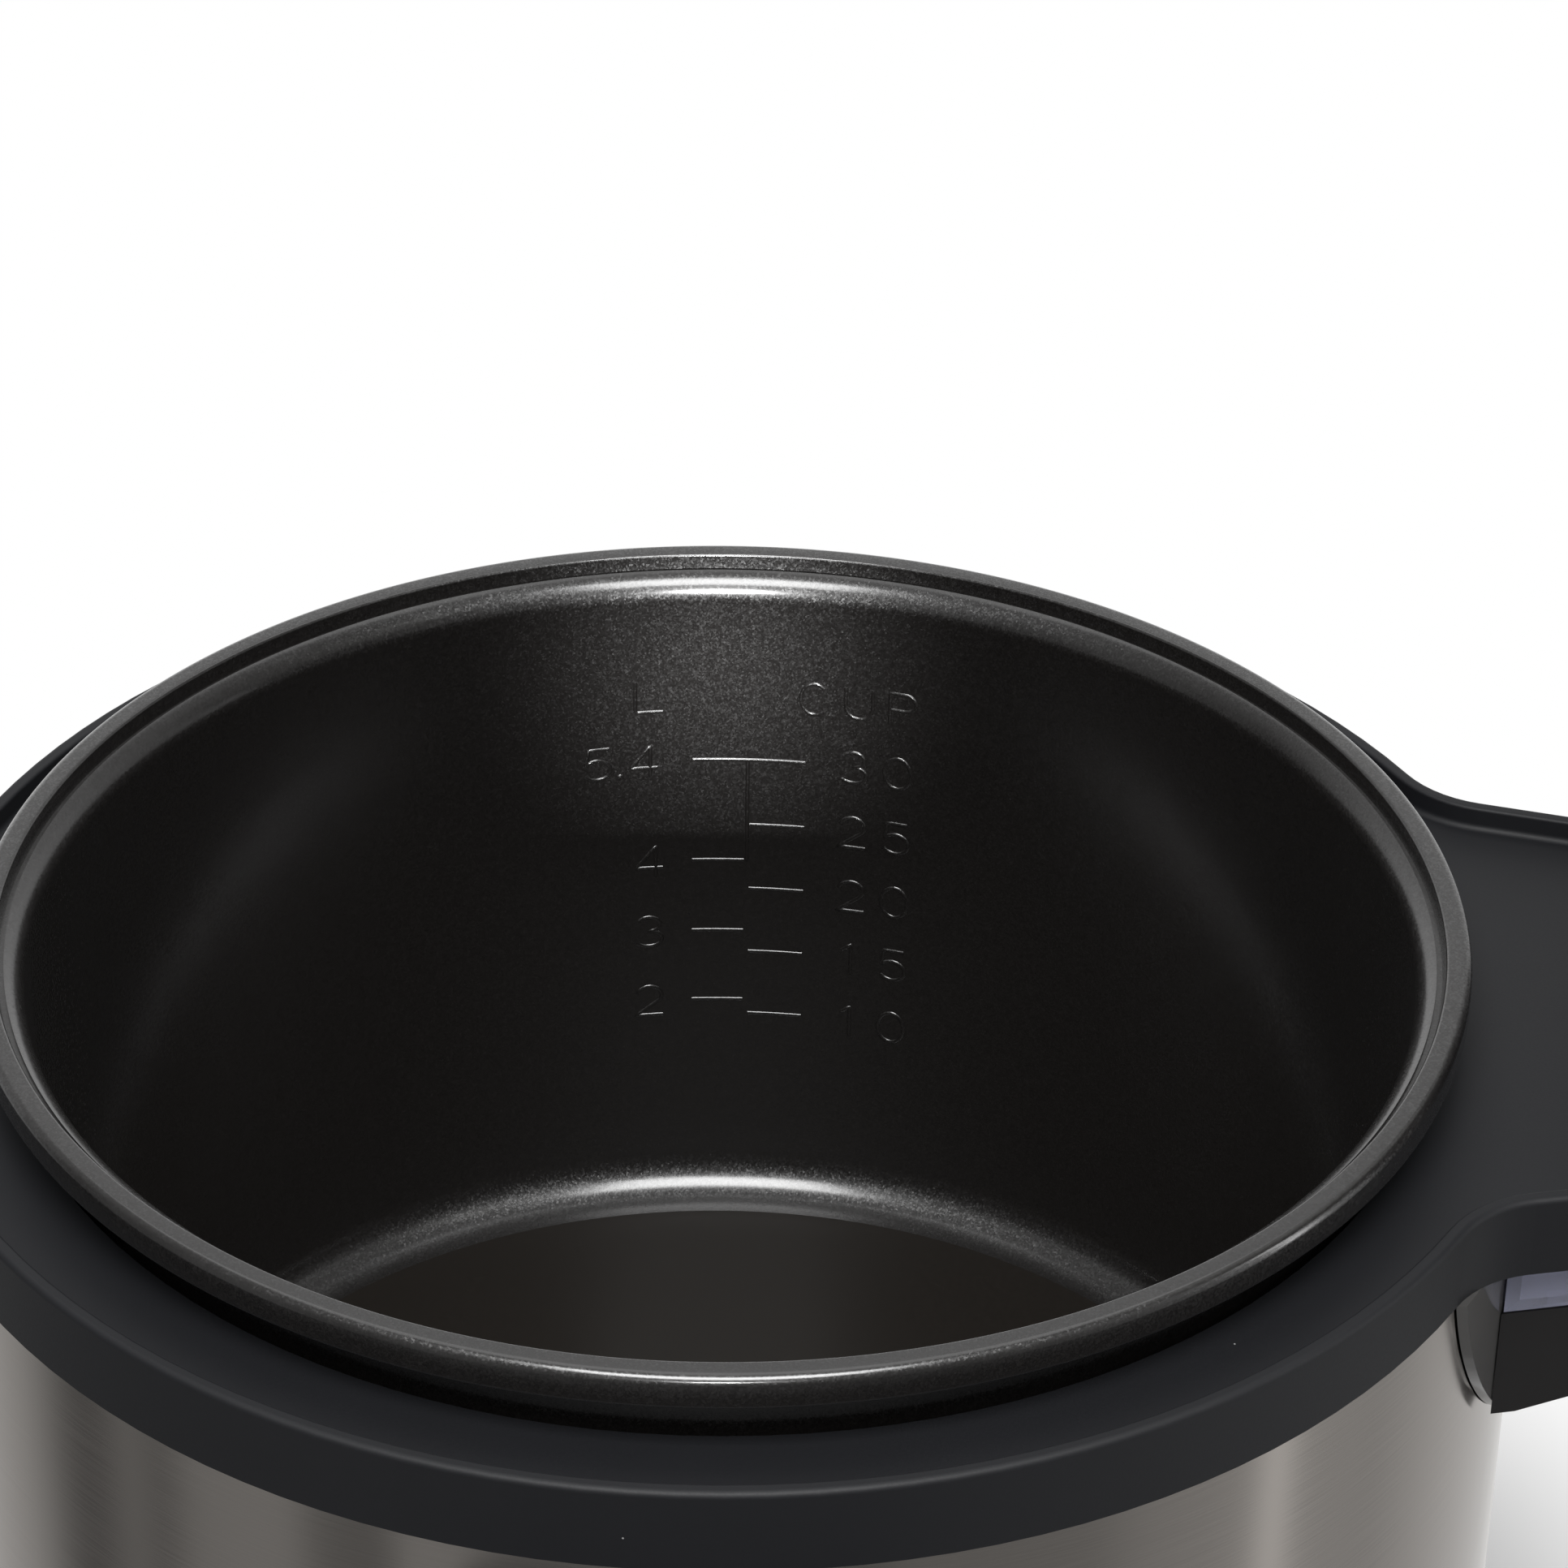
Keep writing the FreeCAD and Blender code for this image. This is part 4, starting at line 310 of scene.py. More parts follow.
def moulded_plastic(name, colour, roughness, grain, relief, dust=0.0):
    """Injection-moulded plastic: an even body colour, the fine grain of its tool, and specks of dust."""
    made, tree = new_material(name)
    place = add_node(tree, "TexCoord").outputs["Object"]
    skin = noise(tree, place, size=grain, detail=3.0)
    flow = noise(tree, place, size=40 * MM, detail=2.0)
    # A speck is a small sphere in a few of the cells of a coarse lattice.
    cell = 4 * MM
    speck_r = 0.055
    cells = add_node(tree, "TexVoronoi", {"Vector": place, "Scale": 1 / cell})
    pick = add_node(tree, "SeparateColor", {"Color": cells.outputs["Color"]})
    chosen = add_node(tree, "Math", {0: pick.outputs[0], 1: dust}, operation="LESS_THAN")
    near = add_node(tree, "Math", {0: cells.outputs["Distance"], 1: speck_r}, operation="LESS_THAN")
    speck = add_node(tree, "Math", {0: chosen.outputs[0], 1: near.outputs[0]}, operation="MULTIPLY")
    body = shaded(tree, colour, flow, 0.85, 1.15)
    grey = opaque(to_linear("#8f8f8f"))
    dusted = add_node(tree, "Mix", {"Factor": speck.outputs[0], "A": body, "B": grey}, data_type="RGBA")
    finish_shader(
        tree,
        {
            "Base Color": dusted.outputs["Result"],
            "Roughness": spread(tree, skin, roughness - 0.06, roughness + 0.06),
            "IOR": 1.49,
            "Normal": bumped(tree, skin, strength=0.5, distance=relief),
        },
    )
    return made


def polished_plastic(name, colour):
    """ABS moulded in a polished tool: a wet gloss that wavers where thick walls have shrunk."""
    made, tree = new_material(name)
    place = add_node(tree, "TexCoord").outputs["Object"]
    sink = noise(tree, place, size=22 * MM, detail=1.0)
    smear = noise(tree, place, size=6 * MM, detail=4.0)
    finish_shader(
        tree,
        {
            "Base Color": opaque(colour),
            "Roughness": spread(tree, smear, 0.06, 0.17),
            "IOR": 1.53,
            "Normal": bumped(tree, sink, strength=0.6, distance=0.6 * MM),
        },
    )
    return made


def clear_plastic(name, colour, ior, clarity=1.0):
    """Clear moulded plastic with faint flow marks, and milky where its clarity is less than 1."""
    made, tree = new_material(name)
    place = add_node(tree, "TexCoord").outputs["Object"]
    flow = noise(tree, place, size=14 * MM, detail=2.0)
    finish_shader(
        tree,
        {
            "Base Color": opaque(colour),
            "Roughness": spread(tree, flow, 0.02, 0.08),
            "IOR": ior,
            "Transmission Weight": clarity,
            "Normal": bumped(tree, flow, strength=0.3, distance=0.4 * MM),
        },
    )
    return made


def brushed_stainless(looks, axis, centre):
    """Stainless sheet brushed round an axis: fine lines that draw reflections out across the grain."""
    made, tree = new_material("brushed_stainless_" + axis.lower())
    place = add_node(tree, "TexCoord").outputs["Object"]
    middle = add_node(tree, "VectorMath", {0: place, 1: centre}, operation="SUBTRACT")
    split = add_node(tree, "SeparateXYZ", {0: middle.outputs[0]})
    x = split.outputs["X"]
    other = split.outputs["Y"] if axis == "Z" else split.outputs["Z"]
    turn = add_node(tree, "Math", {0: other, 1: x}, operation="ARCTAN2")
    squares = [add_node(tree, "Math", {0: side, 1: 2.0}, operation="POWER") for side in (x, other)]
    total = add_node(tree, "Math", {0: squares[0].outputs[0], 1: squares[1].outputs[0]})
    radius = add_node(tree, "Math", {0: total.outputs[0]}, operation="SQRT")
    # Lines lie side by side up a wall, or outwards over a disc, and are drawn wider than real ones to show.
    across = split.outputs["Z"] if axis == "Z" else radius.outputs[0]
    lines = add_node(tree, "Math", {0: across, 1: 1 / looks.brush_width}, operation="MULTIPLY")
    breaks_per_radian = 6.0
    length = add_node(tree, "Math", {0: turn.outputs[0], 1: breaks_per_radian}, operation="MULTIPLY")
    grid = add_node(tree, "CombineXYZ", {0: length.outputs[0], 1: lines.outputs[0]})
    brush = noise(tree, grid.outputs[0], size=1.0, detail=4.0)
    along = add_node(tree, "Tangent", direction_type="RADIAL", axis=axis)
    finish_shader(
        tree,
        {
            "Base Color": shaded(tree, looks.shell, brush, 0.86, 1.08),
            "Metallic": 1.0,
            "Roughness": spread(tree, brush, 0.10, 0.20),
            "Anisotropic": 0.9,
            "Anisotropic Rotation": 0.25,
            "Normal": bumped(tree, brush, strength=0.15, distance=0.02 * MM),
            "Tangent": along.outputs[0],
        },
    )
    return made


def plain_metal(name, colour, roughness, grain, relief):
    """Bare or plated metal: blotches of gloss over a fine grain left by rolling, casting or plating."""
    made, tree = new_material(name)
    place = add_node(tree, "TexCoord").outputs["Object"]
    skin = noise(tree, place, size=grain, detail=4.0)
    blotch = noise(tree, place, size=12 * MM, detail=3.0)
    finish_shader(
        tree,
        {
            "Base Color": shaded(tree, colour, blotch, 0.82, 1.1),
            "Metallic": 1.0,
            "Roughness": spread(tree, blotch, roughness - 0.08, roughness + 0.08),
            "Normal": bumped(tree, skin, strength=0.4, distance=relief),
        },
    )
    return made


# Characters, beads and wire


def arc(cx, cy, rx, ry, start, end, steps=16):
    """Points of an elliptic arc between two angles in degrees."""
    points = []
    for i in range(steps + 1):
        a = math.radians(start + (end - start) * i / steps)
        points.append((cx + rx * math.cos(a), cy + ry * math.sin(a)))
    return points


# Single-stroke characters in a box one unit wide and one unit high
RING = arc(0.5, 0.5, 0.5, 0.5, 90, 450, 32)
BOWL = [(0, 0), (0, 1), (0.55, 1)] + arc(0.55, 0.73, 0.42, 0.27, 90, -90) + [(0, 0.46)]
GLYPHS = {
    "0": [RING],
    "1": [[(0.2, 0.8), (0.55, 1), (0.55, 0)]],
    "2": [arc(0.5, 0.7, 0.46, 0.3, 165, -35) + [(0, 0), (1, 0)]],
    "3": [arc(0.48, 0.76, 0.42, 0.24, 150, -90) + arc(0.48, 0.26, 0.5, 0.26, 90, -150)],
    "4": [[(0.74, 0), (0.74, 1), (0, 0.28), (1, 0.28)]],
    "5": [[(0.92, 1), (0.18, 1), (0.08, 0.55)] + arc(0.48, 0.32, 0.5, 0.32, 140, -150)],
    ".": [arc(0.0, 0.04, 0.05, 0.04, 0, 360, 8)],
    "A": [[(0, 0), (0.5, 1), (1, 0)], [(0.18, 0.36), (0.82, 0.36)]],
    "C": [arc(0.5, 0.5, 0.5, 0.5, 48, 312, 28)],
    "K": [[(0, 0), (0, 1)], [(0.9, 1), (0, 0.4)], [(0.34, 0.62), (1, 0)]],
    "L": [[(0, 1), (0, 0), (1, 0)]],
    "M": [[(0, 0), (0, 1), (0.5, 0.3), (1, 1), (1, 0)]],
    "O": [RING],
    "P": [BOWL],
    "R": [BOWL, [(0.5, 0.46), (1, 0)]],
    "U": [[(0, 1), (0, 0.4)] + arc(0.5, 0.4, 0.5, 0.4, 180, 360) + [(1, 1)]],
    "W": [[(0, 1), (0.25, 0), (0.5, 0.8), (0.75, 0), (1, 1)]],
}


def written(text, left, foot, width, height, pitch):
    """Strokes of a line of characters, from its left end, in metres along and up the wall."""
    strokes = []
    for i, character in enumerate(text):
        for stroke in GLYPHS[character]:
            strokes.append([(left + i * pitch + x * width, foot + y * height) for x, y in stroke])
    return strokes


def densified(stroke, step=1.0 * MM):
    """The same stroke with points close enough to follow a curved wall."""
    points = [stroke[0]]
    for (x0, y0), (x1, y1) in zip(stroke, stroke[1:]):
        parts = max(1, math.ceil(math.hypot(x1 - x0, y1 - y0) / step))
        points += [(x0 + (x1 - x0) * k / parts, y0 + (y1 - y0) * k / parts) for k in range(1, parts + 1)]
    return points


def laid(strokes, place):
    """Strokes as paths of points on the surface that a function lays them on."""
    return [[place(along, up) for along, up in densified(stroke)] for stroke in strokes]


def wire_curve(name, paths, radius):
    """Round bead or wire along each path."""
    curve = bpy.data.curves.new(name, "CURVE")
    curve.dimensions = "3D"
    curve.bevel_depth = radius
    curve.bevel_resolution = 3
    curve.use_fill_caps = True
    for path in paths:
        spline = curve.splines.new("POLY")
        spline.points.add(len(path) - 1)
        for point, place in zip(spline.points, path):
            point.co = (*place, 1.0)
    return link_object(name, curve)


def wire_piece(name, paths, radius, material, node):
    """Wire as a mesh that stands for a spring of the frame."""
    curve = wire_curve(name + "_path", paths, radius)
    mesh = bpy.data.meshes.new_from_object(curve)
    bpy.data.objects.remove(curve)
    mesh.shade_smooth()
    mesh.materials.clear()
    mesh.materials.append(material)
    piece = link_object(name, mesh)
    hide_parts(node)
    return piece


# The pot and its measuring marks


def mark_strokes(marks):
    """Litres at the left and cups at the right of a stem, as rows at the height that the rice reaches."""
    full = 5.4
    cup = 0.18

    def row(litres):
        return -marks.full_drop - (full - litres) * marks.per_litre

    left_tick = (-7.6 * MM, 5.7 * MM)
    right_tick = (7.1 * MM, 21.2 * MM)
    stem = 6.5 * MM
    litre_right = -15.2 * MM
    cup_left = 30.2 * MM
    word_left = cup_left - 10.4 * MM
    half = marks.height / 2
    strokes = [
        [(left_tick[0], row(full)), (right_tick[1], row(full))],
        [(stem, row(full)), (stem, row(4.0))],
    ]

    def write(text, left, foot):
        return written(text, left, foot, marks.width, marks.height, marks.pitch)

    five_left = litre_right - 2.9 * marks.width
    four_left = litre_right - 1.2 * marks.width
    point_left = four_left - 0.36 * marks.width
    for text, left in (("5", five_left), (".", point_left), ("4", four_left)):
        strokes += write(text, left, row(full) - half)
    for litres in (4, 3, 2):
        strokes.append([(left_tick[0], row(litres)), (left_tick[1], row(litres))])
        strokes += write(str(litres), litre_right - marks.width, row(litres) - half)
    strokes += write("30", cup_left, row(full) - half)
    for cups in (25, 20, 15, 10):
        strokes.append([(right_tick[0], row(cups * cup)), (right_tick[1], row(cups * cup))])
        strokes += write(str(cups), cup_left, row(cups * cup) - half)
    strokes += write("L", litre_right - marks.width, -marks.word_drop)
    strokes += write("CUP", word_left, -marks.word_drop)
    return strokes


def pot_section():
    """Section of the pot, from its base up the outside, over the rim and down to the floor."""
    fillet = 12 * MM
    corner = (WALL_R - fillet, POT_FLOOR_Z + fillet)
    # The wall bends out to a shoulder, then a groove, and then steps up to the flat of the rim.
    out = 4.3 * MM
    rise = 6.8 * MM
    step = 3.4 * MM
    groove_depth = 0.7 * MM
    groove_width = 1.3 * MM
    step_z = RIM_Z - step
    groove_z = step_z - groove_depth
    groove_r = WALL_R + out + groove_width
    wall_z = step_z - rise
    bend = (out**2 + rise**2) / (2 * out)
    lean = math.degrees(math.atan2(rise, out - bend))
    under = arc(WALL_R + bend, wall_z, bend - POT_WALL, bend - POT_WALL, 180, lean)
    # The rim ends in a lip that is turned down.
    edge = POT_WALL / 2
    lip = 8 * MM
    lip_r = RIM_R - POT_WALL
    lip_z = RIM_Z - lip + edge
    crown = 2 * MM
    brow = 0.8 * MM
    flat_in = 6.2 * MM
    flat_r = WALL_R + flat_in + brow
    return (
        [(0, POT_FLOOR_Z - POT_WALL)]
        + arc(*corner, fillet + POT_WALL, fillet + POT_WALL, -90, 0)
        + under
        + [(lip_r, under[-1][1])]
        + arc(lip_r + edge, lip_z, edge, edge, 180, 360)
        + arc(RIM_R - crown, RIM_Z - crown, crown, crown, 0, 90)
        + arc(flat_r, RIM_Z - brow, brow, brow, 90, 180)
        + [(groove_r, groove_z), (WALL_R + out, groove_z)]
        + arc(WALL_R + bend, wall_z, bend, bend, lean, 180)
        + arc(*corner, fillet, fillet, 0, -90)
        + [(0, POT_FLOOR_Z)]
    )


def turned_mesh(name, section, steps=360):
    """Mesh of a section turned once round the Z axis."""
    points = []
    rings = []
    for r, z in section:
        count = steps if r > 0 else 1
        turns = [math.tau * k / steps for k in range(count)]
        rings.append([len(points) + k for k in range(count)])
        points += [(r * math.cos(a), r * math.sin(a), z) for a in turns]
    faces = []
    for low, high in zip(rings, rings[1:]):
        for k in range(steps):
            n = (k + 1) % steps
            if len(low) == 1:
                faces.append((low[0], high[n], high[k]))
            elif len(high) == 1:
                faces.append((low[k], low[n], high[0]))
            else:
                faces.append((low[k], low[n], high[n], high[k]))
    return smooth_mesh(name, points, faces)


class COOKER_OT_pot(bpy.types.Operator):
    """Turns the pot and coats its wall, its rim and its floor"""

    bl_idname = "cooker.pot"
    bl_label = "Pot"

    def execute(self, context):
        looks = context.scene.cooker_coating
        mesh = turned_mesh("pot", pot_section())
        wall = nonstick_coating(
            "flaked_nonstick_coating", looks.colour, looks, lean=looks.flake_lean, clear=1.0, ior=1.5
        )
        # The floor of the pot is browner and duller than the wall, and shows no flakes.
        floor = nonstick_coating(
            "dull_nonstick_coating", looks.floor_colour, looks, lean=0.0, clear=0.0, ior=1.3
        )
        mesh.materials.append(wall)
        mesh.materials.append(floor)
        flat = 0.05 * MM
        for face in mesh.polygons:
            if all(abs(mesh.vertices[i].co.z - POT_FLOOR_Z) < flat for i in face.vertices):
                face.material_index = 1
        pot = link_object("pot", mesh)
        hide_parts("inner_pot")
        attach(pot, "pot")
        return {"FINISHED"}


class COOKER_OT_marks(bpy.types.Operator):
    """Embosses the litre and cup marks in the wall of the pot"""

    bl_idname = "cooker.marks"
    bl_label = "Measuring marks"

    def execute(self, context):
        marks = context.scene.cooker_marks
        half = marks.stroke / 2
        radius = (half**2 + marks.relief**2) / (2 * marks.relief)
        sunk = WALL_R + radius - marks.relief

        def on_wall(along, up):
            a = along / WALL_R - VIEW_TURN
            return -sunk * math.cos(a), sunk * math.sin(a), RIM_Z + up

        beads = wire_curve("pot_marks", laid(mark_strokes(marks), on_wall), radius)
        beads.data.materials.append(bpy.data.materials["flaked_nonstick_coating"])
        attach(beads, "pot")
        return {"FINISHED"}


# The casing, the springs and the lid


class COOKER_OT_casing(bpy.types.Operator):
    """Finishes the ring, the shell, the base, the handles and the hinge"""

    bl_idname = "cooker.casing"
    bl_label = "Casing"

    def execute(self, context):
        plastics = context.scene.cooker_plastics
        metals = context.scene.cooker_metals
        # Polypropylene from a spark-eroded tool: cool black, with a satin that greys in grazing light.
        satin = moulded_plastic(
            "satin_polypropylene",
            plastics.ring,
            roughness=0.6,
            grain=0.5 * MM,
            relief=0.03 * MM,
            dust=plastics.dust,
        )
        dress(
            satin,
            "ring_plastic",
            "top_ring",
            "base_ring",
            "side_handle_left",
            "side_handle_right",
            "lid_shell",
        )
        dress(brushed_stainless(metals, "Z", (0, 0, 0)), "shell_steel", "outer_shell")
        # Rubber: dead matt, with a coarse skin that dust greys.
        rubber = moulded_plastic(
            "matt_rubber", to_linear("#1b1b1b"), roughness=0.8, grain=0.8 * MM, relief=0.08 * MM, dust=0.1
        )
        dress(rubber, "foot_rubber", "feet")
        # Zinc plate: bright and bluish, with a soft cloud in the gloss.
        plated = plain_metal(
            "zinc_plated_steel", metals.plated, roughness=0.28, grain=0.7 * MM, relief=0.01 * MM
        )
        dress(
            plated,
            "bright_steel",
            "hinge_pin",
            "base_screws",
            "handle_screws",
            "lid_screws",
            "lid_stud",
            "lever_pin",
            "tie_posts",
            "plate_posts",
            "sensor_sleeve",
        )
        return {"FINISHED"}


def helix(x, y, low, high, radius, turns):
    """Path of a coil that climbs about an upright axis."""
    per_turn = 32
    steps = per_turn * turns
    path = []
    for k in range(steps + 1):
        a = math.tau * turns * k / steps
        z = low + (high - low) * k / steps
        path.append((x + radius * math.cos(a), y + radius * math.sin(a), z))
    return path


class COOKER_OT_springs(bpy.types.Operator):
    """Winds the springs"""

    bl_idname = "cooker.springs"
    bl_label = "Springs"

    def execute(self, context):
        plated = bpy.data.materials["zinc_plated_steel"]
        for node, joint, body, wire_r, coil_r, turns in (
            ("sensor_spring", "sensor_press", "base", 0.8 * MM, 21.3 * MM, 4),
            ("latch_springs", "latch_press", "lid", 0.5 * MM, 4.0 * MM, 3),
        ):
            low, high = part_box(node)
            middle = (low + high) / 2
            side = high.x - coil_r - wire_r
            places = {round(x, 5) for x in (middle.x - side, middle.x + side)}
            paths = [
                helix(x, middle.y, low.z + wire_r, high.z - wire_r, coil_r, turns) for x in sorted(places)
            ]
            piece = wire_piece(node + "_wire", paths, wire_r, plated, node)
            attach(piece, body)
            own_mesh(piece)
        # Each hinge spring has one leg on the lid and one on the tray.
        wire_r = 1 * MM
        coil_r = 7 * MM
        turns = 4
        pitch = 2.9 * MM
        low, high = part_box("hinge_springs")
        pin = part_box("hinge_pin")
        axis_y = (pin[0].y + pin[1].y) / 2
        axis_z = (pin[0].z + pin[1].z) / 2
        # The legs run on at the slope of the coil.
        slope = pitch / (math.tau * coil_r)
        out = high.x - wire_r - slope * (axis_z - low.z)
        near = out - turns * pitch
        for side, name in ((1, "hinge_spring_right"), (-1, "hinge_spring_left")):
            path = [(side * (near - slope * (high.z - axis_z)), axis_y - coil_r, high.z)]
            for y, z, x in helix(axis_y, axis_z, near, out, coil_r, turns):
                path.append((side * x, 2 * axis_y - y, 2 * axis_z - z))
            path.append((side * (high.x - wire_r), axis_y - coil_r, low.z))
            piece = wire_piece(name, [path], wire_r, plated, "hinge_springs")
            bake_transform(piece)
        return {"FINISHED"}


class COOKER_OT_lid(bpy.types.Operator):
    """Finishes the lid, its inner lid, its seals and its button"""

    bl_idname = "cooker.lid"
    bl_label = "Lid"

    def execute(self, context):
        plastics = context.scene.cooker_plastics
        metals = context.scene.cooker_metals
        dress(brushed_stainless(metals, "Y", LID_CENTRE), "shell_steel", "lid_cover")
        # The pan is heat-stabilised polypropylene in dark grey, a little glossier than the ring.
        dress(
            moulded_plastic(
                "grey_polypropylene", plastics.pan, roughness=0.42, grain=0.5 * MM, relief=0.02 * MM
            ),
            "lid_plastic",
            "lid_frame",
        )
        # Pressed aluminium: a pale, soft sheen with faint rolling cloud.
        dress(
            plain_metal(
                "pressed_aluminium", metals.pressed, roughness=0.36, grain=0.6 * MM, relief=0.02 * MM
            ),
            "sheet_aluminium",
            "inner_lid_plate",
            "sensor_cap",
        )
        # Silicone: translucent grey, matt and slightly soft at its edges.
        dress(
            moulded_plastic(
                "silicone_rubber",
                to_linear("#c3c3bf"),
                roughness=0.55,
                grain=1.0 * MM,
                relief=0.02 * MM,
                dust=0.02,
            ),
            "seal_silicone",
            "lid_gasket",
            "lid_grommet",
        )
        control = moulded_plastic(
            "satin_grey_abs", plastics.control, roughness=0.38, grain=0.6 * MM, relief=0.015 * MM
        )
        dress(control, "control_plastic", "latch_button", "lever_knob")
        return {"FINISHED"}


# The collector


def cup_outline(inset, back):
    """The collector seen from above: hollow back, tapering sides and rounded outer corners."""
    taper_deg = 13
    round_r = 14 * MM
    length = 61.7 * MM
    taper = math.radians(taper_deg)
    hollow_r = BIN_HIGH.y - length
    out = Vector((math.cos(taper), math.sin(taper)))
    along = Vector((-math.sin(taper), math.cos(taper)))
    side = out.dot((BIN_HIGH.x, math.sqrt(hollow_r**2 - BIN_HIGH.x**2))) - inset
    root = out * side + along * math.sqrt((hollow_r + back) ** 2 - side**2)
    corner_y = BIN_HIGH.y - round_r
    corner_x = (side - (round_r - inset) - out.y * corner_y) / out.x
    right = [tuple(root)] + arc(corner_x, corner_y, round_r - inset, round_r - inset, taper_deg, 90)
    left = [(-x, y) for x, y in reversed(right)]
    start = math.degrees(math.atan2(root.y, root.x))
    hollow = arc(0, 0, hollow_r + back, hollow_r + back, 180 - start, start, 32)
    return right + left + hollow[1:-1]


def cup_mesh():
    """Closed mesh of the cup: it stands in the bin, and its wall steps out over the bin's lip."""
    low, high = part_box("collector_cup")
    gap = 2.5 * MM
    back = 4.8 * MM
    wall = 2 * MM
    flush = 0.3 * MM
    clearance = 0.3 * MM
    seat = BIN_HIGH.z + clearance
    slope_deg = 12
    slope_length = 70 * MM
    slope = math.tan(math.radians(slope_deg))
    slope_y = BIN_HIGH.y - slope_length

    def floor(y, lift):
        return low.z + lift + max(0, y - slope_y) * slope

    rings = [[(x, y, floor(y, 0)) for x, y in cup_outline(gap, back)]]
    for inset, hollow, z in (
        (gap, back, seat),
        (flush, flush, seat),
        (flush, flush, high.z),
        (flush + wall, flush + wall, high.z),
        (flush + wall, flush + wall, seat + wall),
        (gap + wall, back + wall, seat + wall),
    ):
        rings.append([(x, y, z) for x, y in cup_outline(inset, hollow)])
    rings.append([(x, y, floor(y, wall)) for x, y in cup_outline(gap + wall, back + wall)])
    count = len(rings[0])
    faces = [tuple(reversed(range(count)))]
    for row in range(len(rings) - 1):
        for k in range(count):
            a, b = row * count + k, row * count + (k + 1) % count
            faces.append((a, b, b + count, a + count))
    faces.append(tuple(range((len(rings) - 1) * count, len(rings) * count)))
    return smooth_mesh("cup", [point for ring in rings for point in ring], faces)


class COOKER_OT_collector(bpy.types.Operator):
    """Finishes the plinth, the drip collector and the vent cap"""

    bl_idname = "cooker.collector"
    bl_label = "Collector"

    def execute(self, context):
        plastics = context.scene.cooker_plastics
        gloss = polished_plastic("polished_black_abs", plastics.gloss)
        dress(gloss, "gloss_plastic", "collector_bin", "vent_cap", "control_panel")
        dress(polished_plastic("polished_grey_abs", plastics.plinth), "gloss_plastic", "rear_plinth")
        cup = link_object("cup", cup_mesh())
        cup.data.materials.append(clear_plastic("milky_styrene", plastics.clear, ior=1.57, clarity=0.75))
        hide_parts("collector_cup")
        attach(cup, "collector")
        return {"FINISHED"}


# The panel and the works inside


class COOKER_OT_controls(bpy.types.Operator):
    """Finishes the lamps and writes their names on the panel"""

    bl_idname = "cooker.controls"
    bl_label = "Controls"

    def execute(self, context):
        dress(clear_plastic("red_acrylic", to_linear("#d8201a"), ior=1.49), "lens_red", "cook_lens")
        dress(clear_plastic("amber_acrylic", to_linear("#e88a1c"), ior=1.49), "lens_amber", "warm_lens")
        height = 4.2 * MM
        width = 3.0 * MM
        pitch = 4.4 * MM
        stroke = 0.35 * MM
        drop = 14 * MM

        def on_panel(along, up):
            a = along / PANEL_R
            return PANEL_R * math.sin(a), -PANEL_R * math.cos(a), LENS_Z + up

        strokes = []
        for text, x in (("COOK", -LENS_X), ("WARM", LENS_X)):
            span = pitch * (len(text) - 1) + width
            strokes += written(text, x - span / 2, -drop, width, height, pitch)
        words = wire_curve("panel_words", laid(strokes, on_panel), stroke)
        # Pad-printed ink: flat white with a slightly uneven edge to its gloss.
        ink = moulded_plastic(
            "white_pad_print", to_linear("#e6e6e4"), roughness=0.5, grain=0.4 * MM, relief=0.01 * MM
        )
        words.data.materials.append(ink)
        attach(words, "base")
        return {"FINISHED"}


